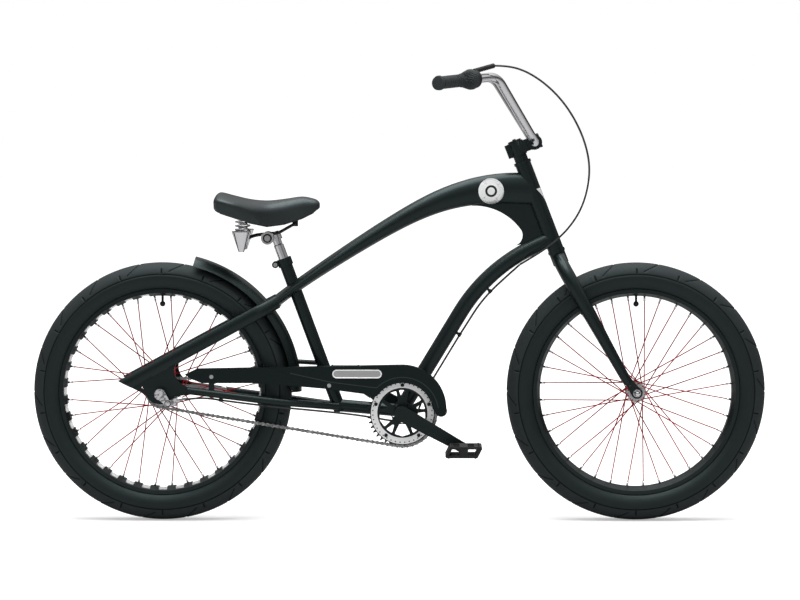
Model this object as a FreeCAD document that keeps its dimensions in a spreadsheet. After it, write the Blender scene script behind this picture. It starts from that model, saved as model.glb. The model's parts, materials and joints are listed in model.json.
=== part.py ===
import FreeCAD, Part
import math
import os
import Sketcher
from FreeCAD import Matrix, Placement, Rotation, Vector

# Beach cruiser bicycle, in millimetres. X points forward, Y to the rider's left, Z up.
# The origin is on the ground, midway between the two wheel axles.

SIZES = {
    "wheelbase": 1194.4, "tyre_diameter": 652, "bead_diameter": 508, "rim_inner_width": 52,
    "tyre_wall": 4, "bead_height": 6, "rim_wall": 2.6, "rim_inner_diameter": 484,
    "rim_well_width": 26, "spoke_count": 36, "spoke_diameter": 2, "nipple_diameter": 4.4,
    "nipple_length": 12, "tube_wall": 1.6, "valve_diameter": 6, "valve_length": 22,
    "valve_cap_diameter": 14, "cutout_width": 21, "cutout_depth": 6.5,
    "axle_diameter": 10, "nut_across": 16, "nut_height": 9, "washer_height": 1.5,
    "front_axle_width": 100, "front_flange_diameter": 50, "front_flange_spacing": 64,
    "front_barrel_diameter": 28, "flange_thickness": 3.2, "hub_bearing_diameter": 24,
    "hub_bearing_width": 8, "front_hub_width": 84,
    "rear_axle_width": 130, "rear_flange_diameter": 84, "rear_flange_spacing": 62,
    "rear_barrel_diameter": 62, "rear_hub_right": 41, "rear_hub_left": 46,
    "chain_pitch": 12.7, "roller_diameter": 7.8, "chain_inner_width": 3.6, "plate_thickness": 1.1,
    "ring_teeth": 42, "cog_teeth": 18, "chain_line": 49, "chain_centres": 607.6, "crank_drop": 50,
    "tooth_thickness": 2.6, "ring_plate_outer": 158, "ring_plate_inner": 126, "ring_plate_thickness": 2,
    "crank_length": 175, "crank_lean": 29.2, "crank_thickness": 13, "crank_boss_diameter": 38,
    "crank_end_diameter": 26, "crank_inner_face": 74, "spindle_diameter": 17, "pedal_axle_diameter": 12,
    "pedal_length": 96, "pedal_width": 90, "pedal_height": 28, "pedal_lean": 14, "pedal_gap": 9,
    "shell_diameter": 42, "shell_bore": 34, "shell_width": 68, "shell_bearing_width": 12,
    "steer_tilt": 21.1, "fork_rake": 60, "fork_height": 399.3, "cup_height": 7, "cup_diameter": 44,
    "head_tube_length": 232, "head_tube_diameter": 40, "head_tube_bore": 34, "steerer_diameter": 28.6,
    "steerer_bore": 23, "crown_diameter": 40, "crown_height": 30, "blade_top_width": 35,
    "blade_end_width": 23, "blade_side": 62, "blade_wall": 2.2, "fork_end_thickness": 6,
    "stem_height": 679.3, "stem_reach": 46, "stem_clamp_height": 36, "stem_clamp_diameter": 40,
    "stem_bar_diameter": 38, "stem_bar_width": 50, "cap_height": 4,
    "bar_diameter": 22.2, "bar_wall": 2, "bar_bend": 65, "bar_centre_half": 70, "bar_setback": 99,
    "bar_rise": 163.6, "bar_corner_half": 200, "bar_grip_back": 143, "bar_grip_out": 175,
    "bar_grip_drop": 16, "grip_diameter": 31, "grip_flange_diameter": 35.5, "grip_right_length": 82,
    "grip_left_length": 150, "twist_length": 45, "twist_diameter": 50, "housing_length": 17,
    "housing_diameter": 44, "top_joint": 570.5, "tail_height": 551.5, "tail_ahead": 285,
    "top_tube_wall": 2.4, "down_tube_diameter": 39, "down_tube_wall": 2.2, "down_tube_bend": 430,
    "down_tube_pitch": 58.8, "down_tube_shift": 4.3, "down_corner": 421, "down_joint": 437.1,
    "seat_foot_back": 162.6, "seat_foot_rise": 14, "seat_tilt": 20.3, "seat_stub": 80.176,
    "seat_tube_diameter": 31.8, "seat_tube_bore": 25.6, "bottom_tube_diameter": 31.8,
    "bottom_tube_wall": 2.2, "chain_stay_diameter": 19, "chain_stay_wall": 2,
    "seat_stay_height": 34, "seat_stay_width": 18, "seat_stay_wall": 2, "seat_stay_pitch": 28.5,
    "dropout_thickness": 6, "gusset_thickness": 8, "collar_diameter": 38, "collar_height": 20,
    "fender_radius": 351, "fender_depth": 24, "fender_width": 82, "fender_wall": 1.5,
    "fender_start": 0, "fender_end": 76, "guard_face": 70, "guard_wall": 2.2, "guard_flange": 16,
    "guard_step": 1.2, "guard_arc": 122, "guard_inner": 77, "cable_diameter": 5, "cable_standoff": 6,
    "post_diameter": 25.4, "post_neck_diameter": 22.2, "post_length": 300, "post_neck": 33,
    "post_reach": 38, "clamp_back": 19, "clamp_rise": 62, "clamp_diameter": 32, "rail_diameter": 7,
    "rail_spacing": 44, "saddle_length": 262, "saddle_width": 236, "saddle_nose": 131.151,
    "saddle_top": 94.57, "spring_wire": 4, "spring_side": 70, "spring_back": 194, "spring_turns": 4,
    "spring_seat": 16, "seat_plate": 7, "cone_top_diameter": 48, "cone_bottom_diameter": 14,
    "cone_height": 52, "cone_top": 19.57, "cone_depth": 14, "running_gap": 0.1, "body_gap": 0.4,
}


class Size(float):
    # A number that remembers the spreadsheet cells it was worked out from.
    def __new__(cls, value, text):
        made = float.__new__(cls, value)
        made.text = text
        return made

    def __add__(self, other):
        return Size(float(self) + float(other), "(" + self.text + " + " + text_of(other) + ")")

    def __sub__(self, other):
        return Size(float(self) - float(other), "(" + self.text + " - " + text_of(other) + ")")

    def __mul__(self, other):
        return Size(float(self) * float(other), "(" + self.text + " * " + text_of(other) + ")")

    def __truediv__(self, other):
        return Size(float(self) / float(other), "(" + self.text + " / " + text_of(other) + ")")

    def __neg__(self):
        return Size(-float(self), "(0 - " + self.text + ")")


def text_of(value):
    if isinstance(value, Size):
        return value.text
    return repr(float(value))


doc = FreeCAD.newDocument("cruiser")
sheet = doc.addObject("Spreadsheet::Sheet", "sizes")
for row, (alias, number) in enumerate(SIZES.items(), 1):
    sheet.set("A" + str(row), alias)
    sheet.set("B" + str(row), str(number))
    sheet.setAlias("B" + str(row), alias)
doc.recompute()


class Sheet:
    # Reads one cell of the spreadsheet by its alias.
    def __getattr__(self, alias):
        return Size(float(sheet.get(alias)), "sizes." + alias)


s = Sheet()
up_axis = Vector(0, 0, 1)
side_axis = Vector(0, 1, 0)
nodes = {}


def turn(axis):
    return Rotation(up_axis, axis)


def bind(thing, prop, value):
    if isinstance(value, Size):
        thing.setExpression(prop, value.text)
    else:
        setattr(thing, prop, float(value))


def rod(name, base, axis, radius, length):
    thing = doc.addObject("Part::Cylinder", name)
    bind(thing, "Radius", radius)
    bind(thing, "Height", length)
    thing.Placement = Placement(base, turn(axis))
    return thing


def block(name, centre, length, width, height, rotation=Rotation()):
    thing = doc.addObject("Part::Box", name)
    bind(thing, "Length", length)
    bind(thing, "Width", width)
    bind(thing, "Height", height)
    corner = Vector(length / 2, width / 2, height / 2)
    thing.Placement = Placement(centre - rotation.multVec(corner), rotation)
    return thing


def cut(name, base, tools):
    thing = doc.addObject("Part::Cut", name)
    thing.Base = base
    if len(tools) > 1:
        thing.Tool = fuse(name + "_tools", tools)
    else:
        thing.Tool = tools[0]
    return thing


def fuse(name, pieces):
    thing = doc.addObject("Part::MultiFuse", name)
    thing.Shapes = pieces
    return thing


def group(name, pieces):
    thing = doc.addObject("Part::Compound", name)
    thing.Links = pieces
    return thing


def tube(name, base, axis, outer, inner, length):
    wall = rod(name + "_outer", base, axis, outer, length)
    hole = rod(name + "_bore", base - axis, axis, inner, length + 2)
    return cut(name, wall, [hole])


def feature(name, shape):
    thing = doc.addObject("Part::Feature", name)
    thing.Shape = shape
    return thing


def node(label, thing):
    thing.Label = label
    nodes[label] = thing
    return thing


def outline_sketch(body, name, corners, plane_role):
    # Straight-sided closed sketch whose every corner is tied to spreadsheet cells.
    plane = [item for item in body.Origin.OriginFeatures if item.Role == plane_role][0]
    sketch = body.newObject("Sketcher::SketchObject", name)
    sketch.AttachmentSupport = [(plane, "")]
    sketch.MapMode = "FlatFace"
    count = len(corners)
    rules = []
    for i in range(count):
        start = Vector(corners[i][0], corners[i][1], 0)
        end = Vector(corners[(i + 1) % count][0], corners[(i + 1) % count][1], 0)
        sketch.addGeometry(Part.LineSegment(start, end), False)
        rules.append(Sketcher.Constraint("Coincident", i, 2, (i + 1) % count, 1))
    for i, (across, along) in enumerate(corners):
        rules.append(Sketcher.Constraint("DistanceX", -1, 1, i, 1, float(across)))
        rules.append(Sketcher.Constraint("DistanceY", -1, 1, i, 1, float(along)))
    sketch.addConstraint(rules)
    for i, (across, along) in enumerate(corners):
        if isinstance(across, Size):
            sketch.setExpression("Constraints[" + str(count + 2 * i) + "]", across.text)
        if isinstance(along, Size):
            sketch.setExpression("Constraints[" + str(count + 2 * i + 1) + "]", along.text)
    return sketch


def turned(name, corners, centre, axis):
    # Lathe-turned piece: corners are (radius, distance along the axis).
    body = doc.addObject("PartDesign::Body", name)
    sketch = outline_sketch(body, name + "_outline", corners, "XZ_Plane")
    turning = body.newObject("PartDesign::Revolution", name + "_turning")
    turning.Profile = sketch
    turning.ReferenceAxis = (sketch, ["V_Axis"])
    turning.Angle = 360
    body.Placement = Placement(centre, turn(axis))
    return body


def flat(x, z, y=0):
    return Vector(x, y, z)


def plate_shape(edges, inner, outer):
    # Solid plate between two side distances from closed edges drawn in the X-Z plane.
    face = Part.Face(Part.Wire(Part.__sortEdges__(edges)))
    solid = face.extrude(Vector(0, outer - inner, 0))
    solid.translate(Vector(0, inner, 0))
    return solid


def line(a, b):
    return Part.LineSegment(a, b).toShape()


def arc(a, middle, b):
    return Part.Arc(a, middle, b).toShape()


def polyline(points):
    return [line(a, b) for a, b in zip(points, points[1:])]


def oval(centre, direction, half_width, half_height):
    # Ellipse square to a direction, its width kept level across the bicycle.
    ahead = Vector(direction).normalize()
    across = (side_axis - ahead * side_axis.dot(ahead)).normalize()
    rise = ahead.cross(across)
    columns = (across * float(half_width), rise * float(half_height), ahead, centre)
    rows = [[getattr(c, k) for c in columns] for k in "xyz"]
    place = Matrix(*rows[0], *rows[1], *rows[2], 0, 0, 0, 1)
    ring = Part.Wire([Part.Circle(Vector(), up_axis, 1).toShape()])
    return ring.transformGeometry(place)


def tangents(points):
    result = []
    for i in range(len(points)):
        before = points[max(i - 1, 0)]
        after = points[min(i + 1, len(points) - 1)]
        result.append((after - before).normalize())
    return result


def lofted(points, half_widths, half_heights, directions=None):
    ways = directions or tangents(points)
    wires = [oval(*section) for section in zip(points, ways, half_widths, half_heights)]
    return Part.makeLoft(wires, True, False)


def rounded_path(points, radius):
    # Straight runs joined by tangent arcs; the radius is one number or one for each corner.
    inner = len(points) - 2
    radii = radius if isinstance(radius, list) else [radius] * inner
    edges = []
    start = points[0]
    for i in range(1, len(points) - 1):
        back = (points[i - 1] - points[i]).normalize()
        on = (points[i + 1] - points[i]).normalize()
        half = back.getAngle(on) / 2
        reach = float(radii[i - 1]) / math.tan(half)
        enter = points[i] + back * reach
        leave = points[i] + on * reach
        toward = (back + on).normalize()
        middle = points[i] + toward * (float(radii[i - 1]) / math.sin(half) - float(radii[i - 1]))
        if (enter - start).Length > 1e-4:
            edges.append(line(start, enter))
        edges.append(arc(enter, middle, leave))
        start = leave
    edges.append(line(start, points[-1]))
    return Part.Wire(edges)


def swept(path, radius):
    first = path.Edges[0]
    start = first.valueAt(first.FirstParameter)
    way = first.tangentAt(first.FirstParameter)
    ring = Part.Wire([Part.Circle(start, way, float(radius)).toShape()])
    return path.makePipeShell([ring], True, False)


def swept_oval(path, half_width, half_height):
    first = path.Edges[0]
    start = first.valueAt(first.FirstParameter)
    way = first.tangentAt(first.FirstParameter)
    return path.makePipeShell([oval(start, way, half_width, half_height)], True, False)


def bar_shape(base, axis, radius, length):
    return Part.makeCylinder(float(radius), float(length), base, axis)


def mirrored(shape):
    return shape.mirror(Vector(), side_axis)


# Main points of the layout

rear_axle = Vector(-s.wheelbase / 2, 0, s.tyre_diameter / 2)
front_axle = Vector(s.wheelbase / 2, 0, s.tyre_diameter / 2)
crank_ahead = math.sqrt(s.chain_centres ** 2 - s.crank_drop ** 2)
crank_centre = rear_axle + Vector(crank_ahead, 0, -s.crank_drop)

steer_angle = math.radians(s.steer_tilt)
steer_up = Vector(-math.sin(steer_angle), 0, math.cos(steer_angle))
steer_fwd = Vector(math.cos(steer_angle), 0, math.sin(steer_angle))
steer_foot = front_axle - steer_fwd * s.fork_rake


def on_steer(along, ahead=0, side=0):
    return steer_foot + steer_up * float(along) + steer_fwd * float(ahead) + Vector(0, side, 0)


head_low = s.fork_height + s.cup_height
head_high = head_low + s.head_tube_length
bar_centre = on_steer(s.stem_height, s.stem_reach)

seat_angle = math.radians(s.seat_tilt)
seat_up = Vector(-math.sin(seat_angle), 0, math.cos(seat_angle))
seat_foot = crank_centre + Vector(-s.seat_foot_back, 0, s.seat_foot_rise)

# How far along the top tube each section sits, how high it bows, and its half sizes.
TOP_TUBE = (
    (0.00, 0.0, 21, 39.5), (0.13, 40.0, 22, 37.5), (0.28, 64.0, 23.5, 30), (0.45, 64.3, 25, 23),
    (0.65, 47.0, 27, 18.5), (0.85, 23.3, 34, 15.2), (1.00, 0.0, 42, 14.5),
)
top_start = on_steer(s.top_joint)
top_tail = Vector(rear_axle.x + s.tail_ahead, 0, s.tail_height)


def top_tube_points():
    chord = top_tail - top_start
    rise = Vector(chord.z, 0, -chord.x).normalize()
    return [top_start + chord * where + rise * bow for where, bow, _, _ in TOP_TUBE]


def seat_crossing():
    # Distance along the seat tube at which the top tube's centre line crosses it.
    tail_way = top_tube_points()[-2] - top_tail
    gap = top_tail - seat_foot
    return (gap.x * tail_way.z - gap.z * tail_way.x) / (seat_up.x * tail_way.z - seat_up.z * tail_way.x)


seat_length = s.seat_stub + seat_crossing()
seat_top = seat_foot + seat_up * float(seat_length)


def on_seat(along, ahead=0, side=0):
    # Point by distance above the seat tube's top, forward of its axis and to the side.
    fwd = Vector(seat_up.z, 0, -seat_up.x)
    return seat_top + seat_up * float(along) + fwd * float(ahead) + Vector(0, side, 0)


# Frame tubes

head_solid = bar_shape(on_steer(head_low), steer_up, s.head_tube_diameter / 2, s.head_tube_length)
seat_solid = bar_shape(seat_foot - seat_up * 16, seat_up, s.seat_tube_diameter / 2,
                       seat_length + 16)
shell_solid = bar_shape(crank_centre - side_axis * (s.shell_width / 2), side_axis,
                        s.shell_diameter / 2, s.shell_width)


def head_tube():
    node("head_tube", tube("head_tube", on_steer(head_low), steer_up, s.head_tube_diameter / 2,
                           s.head_tube_bore / 2, s.head_tube_length))


def headset():
    pieces = []
    for name, start in (("lower", s.fork_height), ("upper", head_high)):
        base = on_steer(start)
        pieces.append(tube(name + "_cup", base, steer_up, s.cup_diameter / 2, s.head_tube_bore / 2,
                           s.cup_height))
        pieces.append(tube(name + "_bearing", base, steer_up, s.head_tube_bore / 2,
                           s.steerer_diameter / 2 + s.running_gap, s.cup_height))
    node("headset", group("headset", pieces))


top_solid = lofted(top_tube_points(), [w for _, _, w, _ in TOP_TUBE], [h for _, _, _, h in TOP_TUBE])


def top_tube():
    wall = float(s.top_tube_wall)
    points = top_tube_points()
    ways = tangents(points)
    points[-1] = points[-1] - ways[-1] * 4
    bore = lofted(points, [w - wall for _, _, w, _ in TOP_TUBE],
                  [h - wall for _, _, _, h in TOP_TUBE], ways)
    shape = top_solid.cut(bore).cut(head_solid).cut(seat_solid)
    node("top_tube", feature("top_tube", largest(shape)))


def largest(shape):
    return max(shape.Solids, key=lambda solid: solid.Volume)


def down_path():
    # The tube's line passes a little behind the crank.
    pitch = math.radians(s.down_tube_pitch)
    way = Vector(math.cos(pitch), 0, math.sin(pitch))
    start = crank_centre + Vector(-way.z, 0, way.x) * s.down_tube_shift
    return rounded_path([start, start + way * s.down_corner, on_steer(s.down_joint)], s.down_tube_bend)


down_solid = swept(down_path(), s.down_tube_diameter / 2)


def down_tube():
    bore = swept(down_path(), s.down_tube_diameter / 2 - s.down_tube_wall)
    shape = down_solid.cut(bore).cut(head_solid).cut(shell_solid)
    node("down_tube", feature("down_tube", largest(shape)))


def head_gusset():
    # The free edge is a long arc under the top tube and a tight one above the down tube.
    in_top = on_steer(s.top_joint + 36, -165)
    on_top = on_steer(s.top_joint + 15.5, -157)
    middle = on_steer(s.top_joint - 24.5, -97)
    front = on_steer(s.down_joint + 47.4, -64)
    bend = on_steer(s.down_joint + 26.6, -69.2)
    on_down = on_steer(s.down_joint + 16, -90)
    edges = [line(in_top, on_top), arc(on_top, middle, front), arc(front, bend, on_down),
             line(on_down, on_steer(s.down_joint)), line(on_steer(s.down_joint), top_start),
             line(top_start, in_top)]
    half = s.gusset_thickness / 2
    shape = plate_shape(edges, -half, half).cut(top_solid).cut(down_solid).cut(head_solid)
    node("head_gusset", feature("head_gusset", largest(shape)))


def seat_tube():
    node("seat_tube", tube("seat_tube", seat_foot - seat_up * 16, seat_up, s.seat_tube_diameter / 2,
                           s.seat_tube_bore / 2, seat_length + 16))


def bottom_tube():
    way = crank_centre - seat_foot
    outer = bar_shape(seat_foot, way, s.bottom_tube_diameter / 2, way.Length)
    bore = bar_shape(seat_foot, way, s.bottom_tube_diameter / 2 - s.bottom_tube_wall, way.Length)
    shape = outer.cut(bore).cut([seat_solid, shell_solid, down_solid])
    node("bottom_tube", feature("bottom_tube", largest(shape)))


def crank_shell():
    base = crank_centre - side_axis * (s.shell_width / 2)
    pieces = [tube("crank_shell", base, side_axis, s.shell_diameter / 2, s.shell_bore / 2, s.shell_width)]
    inside = s.shell_width / 2 - s.shell_bearing_width
    for name, start in (("right", -s.shell_width / 2), ("left", inside)):
        pieces.append(tube("crank_bearing_" + name, crank_centre + side_axis * start, side_axis,
                           s.shell_bore / 2, s.spindle_diameter / 2 + s.running_gap, s.shell_bearing_width))
    node("bottom_bracket", group("bottom_bracket", pieces))


drop_inner = s.rear_axle_width / 2
drop_middle = drop_inner + s.dropout_thickness / 2


def stay_point(along, side):
    # Point on the right seat stay's centre line, measured from the top tube's tail.
    pitch = math.radians(s.seat_stay_pitch)
    return top_tail + Vector(-math.cos(pitch) * along, -side, -math.sin(pitch) * along)


def dropout_shape():
    tip = rear_axle + Vector(-109, 0, 32)
    edges = [
        line(tip, rear_axle + Vector(-38, 0, -3)),
        arc(rear_axle + Vector(-38, 0, -3), rear_axle + Vector(-6, 0, -27), rear_axle + Vector(34, 0, -8)),
        line(rear_axle + Vector(34, 0, -8), rear_axle + Vector(76, 0, -2)),
        line(rear_axle + Vector(76, 0, -2), rear_axle + Vector(74, 0, 8)),
        line(rear_axle + Vector(74, 0, 8), rear_axle + Vector(62, 0, 19)),
        arc(rear_axle + Vector(62, 0, 19), rear_axle + Vector(36, 0, 44), rear_axle + Vector(46, 0, 84)),
        line(rear_axle + Vector(46, 0, 84), rear_axle + Vector(-80, 0, 24)),
        line(rear_axle + Vector(-80, 0, 24), tip),
    ]
    plate = plate_shape(edges, -drop_inner - s.dropout_thickness, -drop_inner)
    hole = bar_shape(rear_axle + Vector(0, -200, 0), side_axis, s.axle_diameter / 2 + 0.1, 400)
    eyelet = bar_shape(rear_axle + Vector(-46, -200, 14), side_axis, 2.6, 400)
    return plate.cut(hole).cut(eyelet)


right_dropout = dropout_shape()


def rear_dropouts():
    pair = Part.makeCompound([right_dropout, mirrored(right_dropout)])
    node("rear_dropouts", feature("rear_dropouts", pair))


def seat_stays():
    wall = s.seat_stay_wall
    half_width, half_height = s.seat_stay_width / 2, s.seat_stay_height / 2
    runs = ((-5, 33), (40, 57), (170, 63), (300, drop_middle), (452, drop_middle))
    path = rounded_path([stay_point(along, side) for along, side in runs], [60, 400, 400])
    outer = swept_oval(path, half_width, half_height)
    bore = swept_oval(path, half_width - wall, half_height - wall)
    tip = rear_axle + Vector(-109, 0, 32)
    foot = rear_axle + Vector(-38, 0, -3)
    slope = (foot - tip).normalize()
    below = Vector(slope.z, 0, -slope.x)
    far = tip - slope * 60
    trim = polyline([far, far + slope * 400, far + slope * 400 + below * 200, far + below * 200, far])
    shape = outer.cut(bore).cut(top_solid).cut(plate_shape(trim, -150, 0)).cut(right_dropout)
    right = largest(shape)
    node("seat_stays", feature("seat_stays", Part.makeCompound([right, mirrored(right)])))


def chain_stay_points():
    return [rear_axle + Vector(66, -drop_middle, 7.4), Vector(seat_foot.x - 197, -61, seat_foot.z + 20),
            Vector(seat_foot.x - 120, -53, seat_foot.z + 11), Vector(seat_foot.x, -14, seat_foot.z - 2)]


def chain_stays():
    path = rounded_path(chain_stay_points(), [500, 160])
    shape = swept(path, s.chain_stay_diameter / 2)
    bore = swept(path, s.chain_stay_diameter / 2 - s.chain_stay_wall)
    right = largest(shape.cut(bore).cut(seat_solid).cut(right_dropout))
    node("chain_stays", feature("chain_stays", Part.makeCompound([right, mirrored(right)])))


def seat_collar():
    ring = rod("collar_ring", on_seat(-s.collar_height), seat_up, s.collar_diameter / 2, s.collar_height)
    eye = rod("collar_eye", on_seat(-8, -24.5, -11), side_axis, 8.5, 22)
    web = block("collar_web", on_seat(-8, -20), 12, 20, 13, turn(seat_up))
    hole = rod("collar_hole", on_seat(-30), seat_up, s.seat_tube_diameter / 2, 60)
    slot = block("collar_slot", on_seat(-10, -28), 26, 2, 40, turn(seat_up))
    bolt = rod("collar_bolt", on_seat(-8, -24.5, -15), side_axis, 3, 30)
    head = rod("collar_bolt_head", on_seat(-8, -24.5, -15), side_axis, 5, 4)
    collar = cut("seat_collar", fuse("collar_body", [ring, eye, web]), [hole, slot, bolt])
    node("seat_collar", collar)
    return fuse("seat_bolt", [bolt, head])


def fender_shape():
    half = s.fender_width / 2
    low = s.fender_radius - s.fender_depth
    wall = float(s.fender_wall)

    def at(radius, y):
        return rear_axle + Vector(radius, y, 0)

    edges = [arc(at(low, -half), at(s.fender_radius, 0), at(low, half)),
             line(at(low, half), at(low, half - wall)),
             arc(at(low, half - wall), at(s.fender_radius - wall, 0), at(low, wall - half)),
             line(at(low, wall - half), at(low, -half))]
    face = Part.Face(Part.Wire(edges))
    face.rotate(rear_axle, -side_axis, float(s.fender_start))
    return face.revolve(rear_axle, -side_axis, float(s.fender_end - s.fender_start))


fender_solid = fender_shape()


def rear_fender():
    node("rear_fender", feature("rear_fender", fender_solid))
    rise = (top_tail - rear_axle).normalize()
    upper = bar_shape(rear_axle + rise * (s.fender_radius - 8), rise, 7, 40)
    upper = upper.cut(fender_solid).cut(top_solid)
    upper = min(upper.Solids, key=lambda piece: abs(piece.CenterOfMass.distanceToPoint(top_tail) - 8))
    start = seat_foot + seat_up * 114
    way = Vector(-1, 0, 0.06)
    lower = bar_shape(start, way, 6, 80).cut(fender_solid).cut(seat_solid)
    lower = min(lower.Solids, key=lambda piece: piece.CenterOfMass.distanceToPoint(start))
    return [feature("fender_bracket_upper", upper), feature("fender_bracket_lower", lower)]


def chain_guard():
    ra, cc = rear_axle, crank_centre
    r = float(s.guard_inner)

    def around(radius, degrees):
        angle = math.radians(degrees)
        return cc + Vector(radius * math.cos(angle), 0, radius * math.sin(angle))

    tail = ra + Vector(89, 0, 62)
    crest = cc + Vector(-3.6, 0, s.guard_arc)
    shoulder = around(float(s.guard_arc) - 3.4, 47.5)
    chin = around(float(s.guard_arc) - 10.4, 6.7)
    top = [line(tail, crest), arc(crest, shoulder, chin)]
    bottom = [cc + Vector(-82.5, 0, 39), cc + Vector(-97, 0, 49), cc + Vector(-195, 0, 62),
              ra + Vector(250, 0, 26), ra + Vector(103, 0, 26), ra + Vector(74, 0, 37),
              ra + Vector(60, 0, 48), tail]
    edges = top + [arc(chin, around(float(s.guard_arc) - 21, -4.5), around(r + 6, 2)),
                   line(around(r + 6, 2), around(r, 9)), arc(around(r, 9), around(r, 77), around(r, 145)),
                   line(around(r, 145), bottom[0])] + polyline(bottom)
    outer = -s.guard_face
    inner = outer + s.guard_wall
    plate = plate_shape(edges, outer, inner)
    crease = tail + (crest - tail) * 0.365
    panel = [line(crease, crest), arc(crest, shoulder, chin), line(chin, around(91, 9)),
             arc(around(91, 9), around(91, 72), around(91, 135)),
             line(around(91, 135), cc + Vector(-181, 0, 79)),
             line(cc + Vector(-181, 0, 79), cc + Vector(-281, 0, 101)),
             line(cc + Vector(-281, 0, 101), crease)]
    raised = plate_shape(panel, outer - s.guard_step, outer)
    wall = float(s.guard_wall)
    drop = Vector(0, 0, -wall)
    low_crest, low_tail = crest + drop, tail + drop
    low_chin = around(float(s.guard_arc) - 10.4 - wall, 6.7)
    rim = top + [line(chin, low_chin), line(tail, low_tail), line(low_tail, low_crest),
                 arc(low_crest, around(float(s.guard_arc) - 3.4 - wall, 47.5), low_chin)]
    flange = plate_shape(rim, inner, inner + s.guard_flange)
    node("chain_guard", feature("chain_guard", plate.fuse([raised, flange]).removeSplitter()))
    brackets = []
    stay = swept(rounded_path(chain_stay_points(), [500, 160]), s.chain_stay_diameter / 2)
    tab = Part.makeBox(14, 3, 60, Vector(ra.x + 120, inner, stay.BoundBox.ZMax - 16)).cut(stay)
    top_trim = Part.makeBox(40, 20, 60, Vector(ra.x + 110, inner - 5, ra.z + 50))
    brackets.append(max(tab.cut(top_trim).Solids, key=lambda piece: piece.CenterOfMass.z))
    start = seat_foot + seat_up * 60
    strut = bar_shape(start, -side_axis, 4, -inner).cut(seat_solid)
    brackets.append(min(strut.Solids, key=lambda piece: piece.CenterOfMass.y))
    screws = []
    for x, z in ((ra.x + 127, ra.z + 42), (start.x, start.z)):
        base = Vector(x, outer, z)
        screws.append(bar_shape(base, -side_axis, 5, 2.4))
    return (feature("guard_brackets", Part.makeCompound(brackets)),
            feature("guard_screws", Part.makeCompound(screws)))


# Wheels

half_bead = s.rim_inner_width / 2
bead_radius = s.bead_diameter / 2
rim_radius = s.rim_inner_diameter / 2


def ring_arc(points, low, half, crown):
    # Two arcs over the crown of a tyre section, from one bead to the other.
    height = crown - low
    radius = (half * half + height * height) / (2 * height)
    centre = crown - radius
    lean = math.atan2(half, low - centre) / 2
    side = Vector(centre + radius * math.cos(lean), radius * math.sin(lean), 0)
    other = Vector(side.x, -side.y, 0)
    first = arc(Vector(low, half, 0), side, Vector(crown, 0, 0))
    second = arc(Vector(crown, 0, 0), other, Vector(low, -half, 0))
    points.extend([first, second])


def tyre(label, axle):
    low, wall = float(bead_radius), float(s.tyre_wall)
    half, shoulder = float(half_bead), float(bead_radius + s.bead_height)
    crown = float(s.tyre_diameter / 2)
    edges = [line(Vector(low, half, 0), Vector(shoulder, half, 0))]
    ring_arc(edges, shoulder, half, crown)
    edges.append(line(Vector(shoulder, -half, 0), Vector(low, -half, 0)))
    edges.append(line(Vector(low, -half, 0), Vector(low, wall - half, 0)))
    edges.append(line(Vector(low, wall - half, 0), Vector(shoulder, wall - half, 0)))
    ring_arc(edges, shoulder, half - wall, crown - wall)
    edges.append(line(Vector(shoulder, half - wall, 0), Vector(low, half - wall, 0)))
    edges.append(line(Vector(low, half - wall, 0), Vector(low, half, 0)))
    face = Part.Face(Part.Wire(Part.__sortEdges__(edges)))
    solid = face.revolve(Vector(), side_axis, 360)
    solid.translate(axle)
    node(label, feature(label, solid))


def inner_tube(label, axle):
    major = (s.tyre_diameter / 2 + bead_radius + s.bead_height) / 2 - 5.6
    minor = (s.tyre_diameter / 2 - s.tyre_wall) - major - s.running_gap
    air = Part.makeTorus(major, minor - s.tube_wall, axle, side_axis)
    stem_end = rim_radius - s.valve_length
    stem = bar_shape(axle + up_axis * stem_end, up_axis, s.valve_diameter / 2, major - minor + 1 - stem_end)
    body = Part.makeTorus(major, minor, axle, side_axis).fuse(stem).cut(air)
    cap = Part.makeSphere(float(s.valve_cap_diameter / 2), axle + up_axis * (stem_end + 1))
    node(label, feature(label, Part.makeCompound([body, cap.cut(stem)])))


def rim(label, axle, cutouts):
    top = bead_radius + s.bead_height - 0.5
    face = half_bead + 0.1
    seat = bead_radius - 0.25
    well = s.rim_well_width / 2
    wall = s.rim_wall
    right = [(top, face), (seat, face), (seat, face - 7), (rim_radius + wall, well - 2)]
    left = [(a, -b) for a, b in reversed(right)]
    outside = [(top, -(face + wall)), (seat - 3.4, -(face + wall)), (rim_radius, -well),
               (rim_radius, well), (seat - 3.4, face + wall), (top, face + wall)]
    thing = turned(label + "_turned", right + left + outside, axle, side_axis)
    tools = [rod(label + "_valve_hole", axle + up_axis * (rim_radius - 5), up_axis,
                 s.valve_diameter / 2 + 0.3, 20)]
    if cutouts:
        tools.append(feature(label + "_windows", Part.makeCompound(window_tools(axle))))
    node(label, cut(label, thing, tools))


def window_tools(axle):
    tools = []
    count = int(s.spoke_count)
    width, depth = float(s.cutout_width), float(s.cutout_depth)
    for i in range(count):
        if i == 0:
            continue
        piece = Part.makeBox(width, s.rim_inner_width + 2, depth + 4,
                             axle + Vector(-width / 2, -s.rim_inner_width / 2 - 1, rim_radius - 4))
        piece.rotate(axle, side_axis, 360.0 * i / count)
        tools.append(piece)
    return tools


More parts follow.
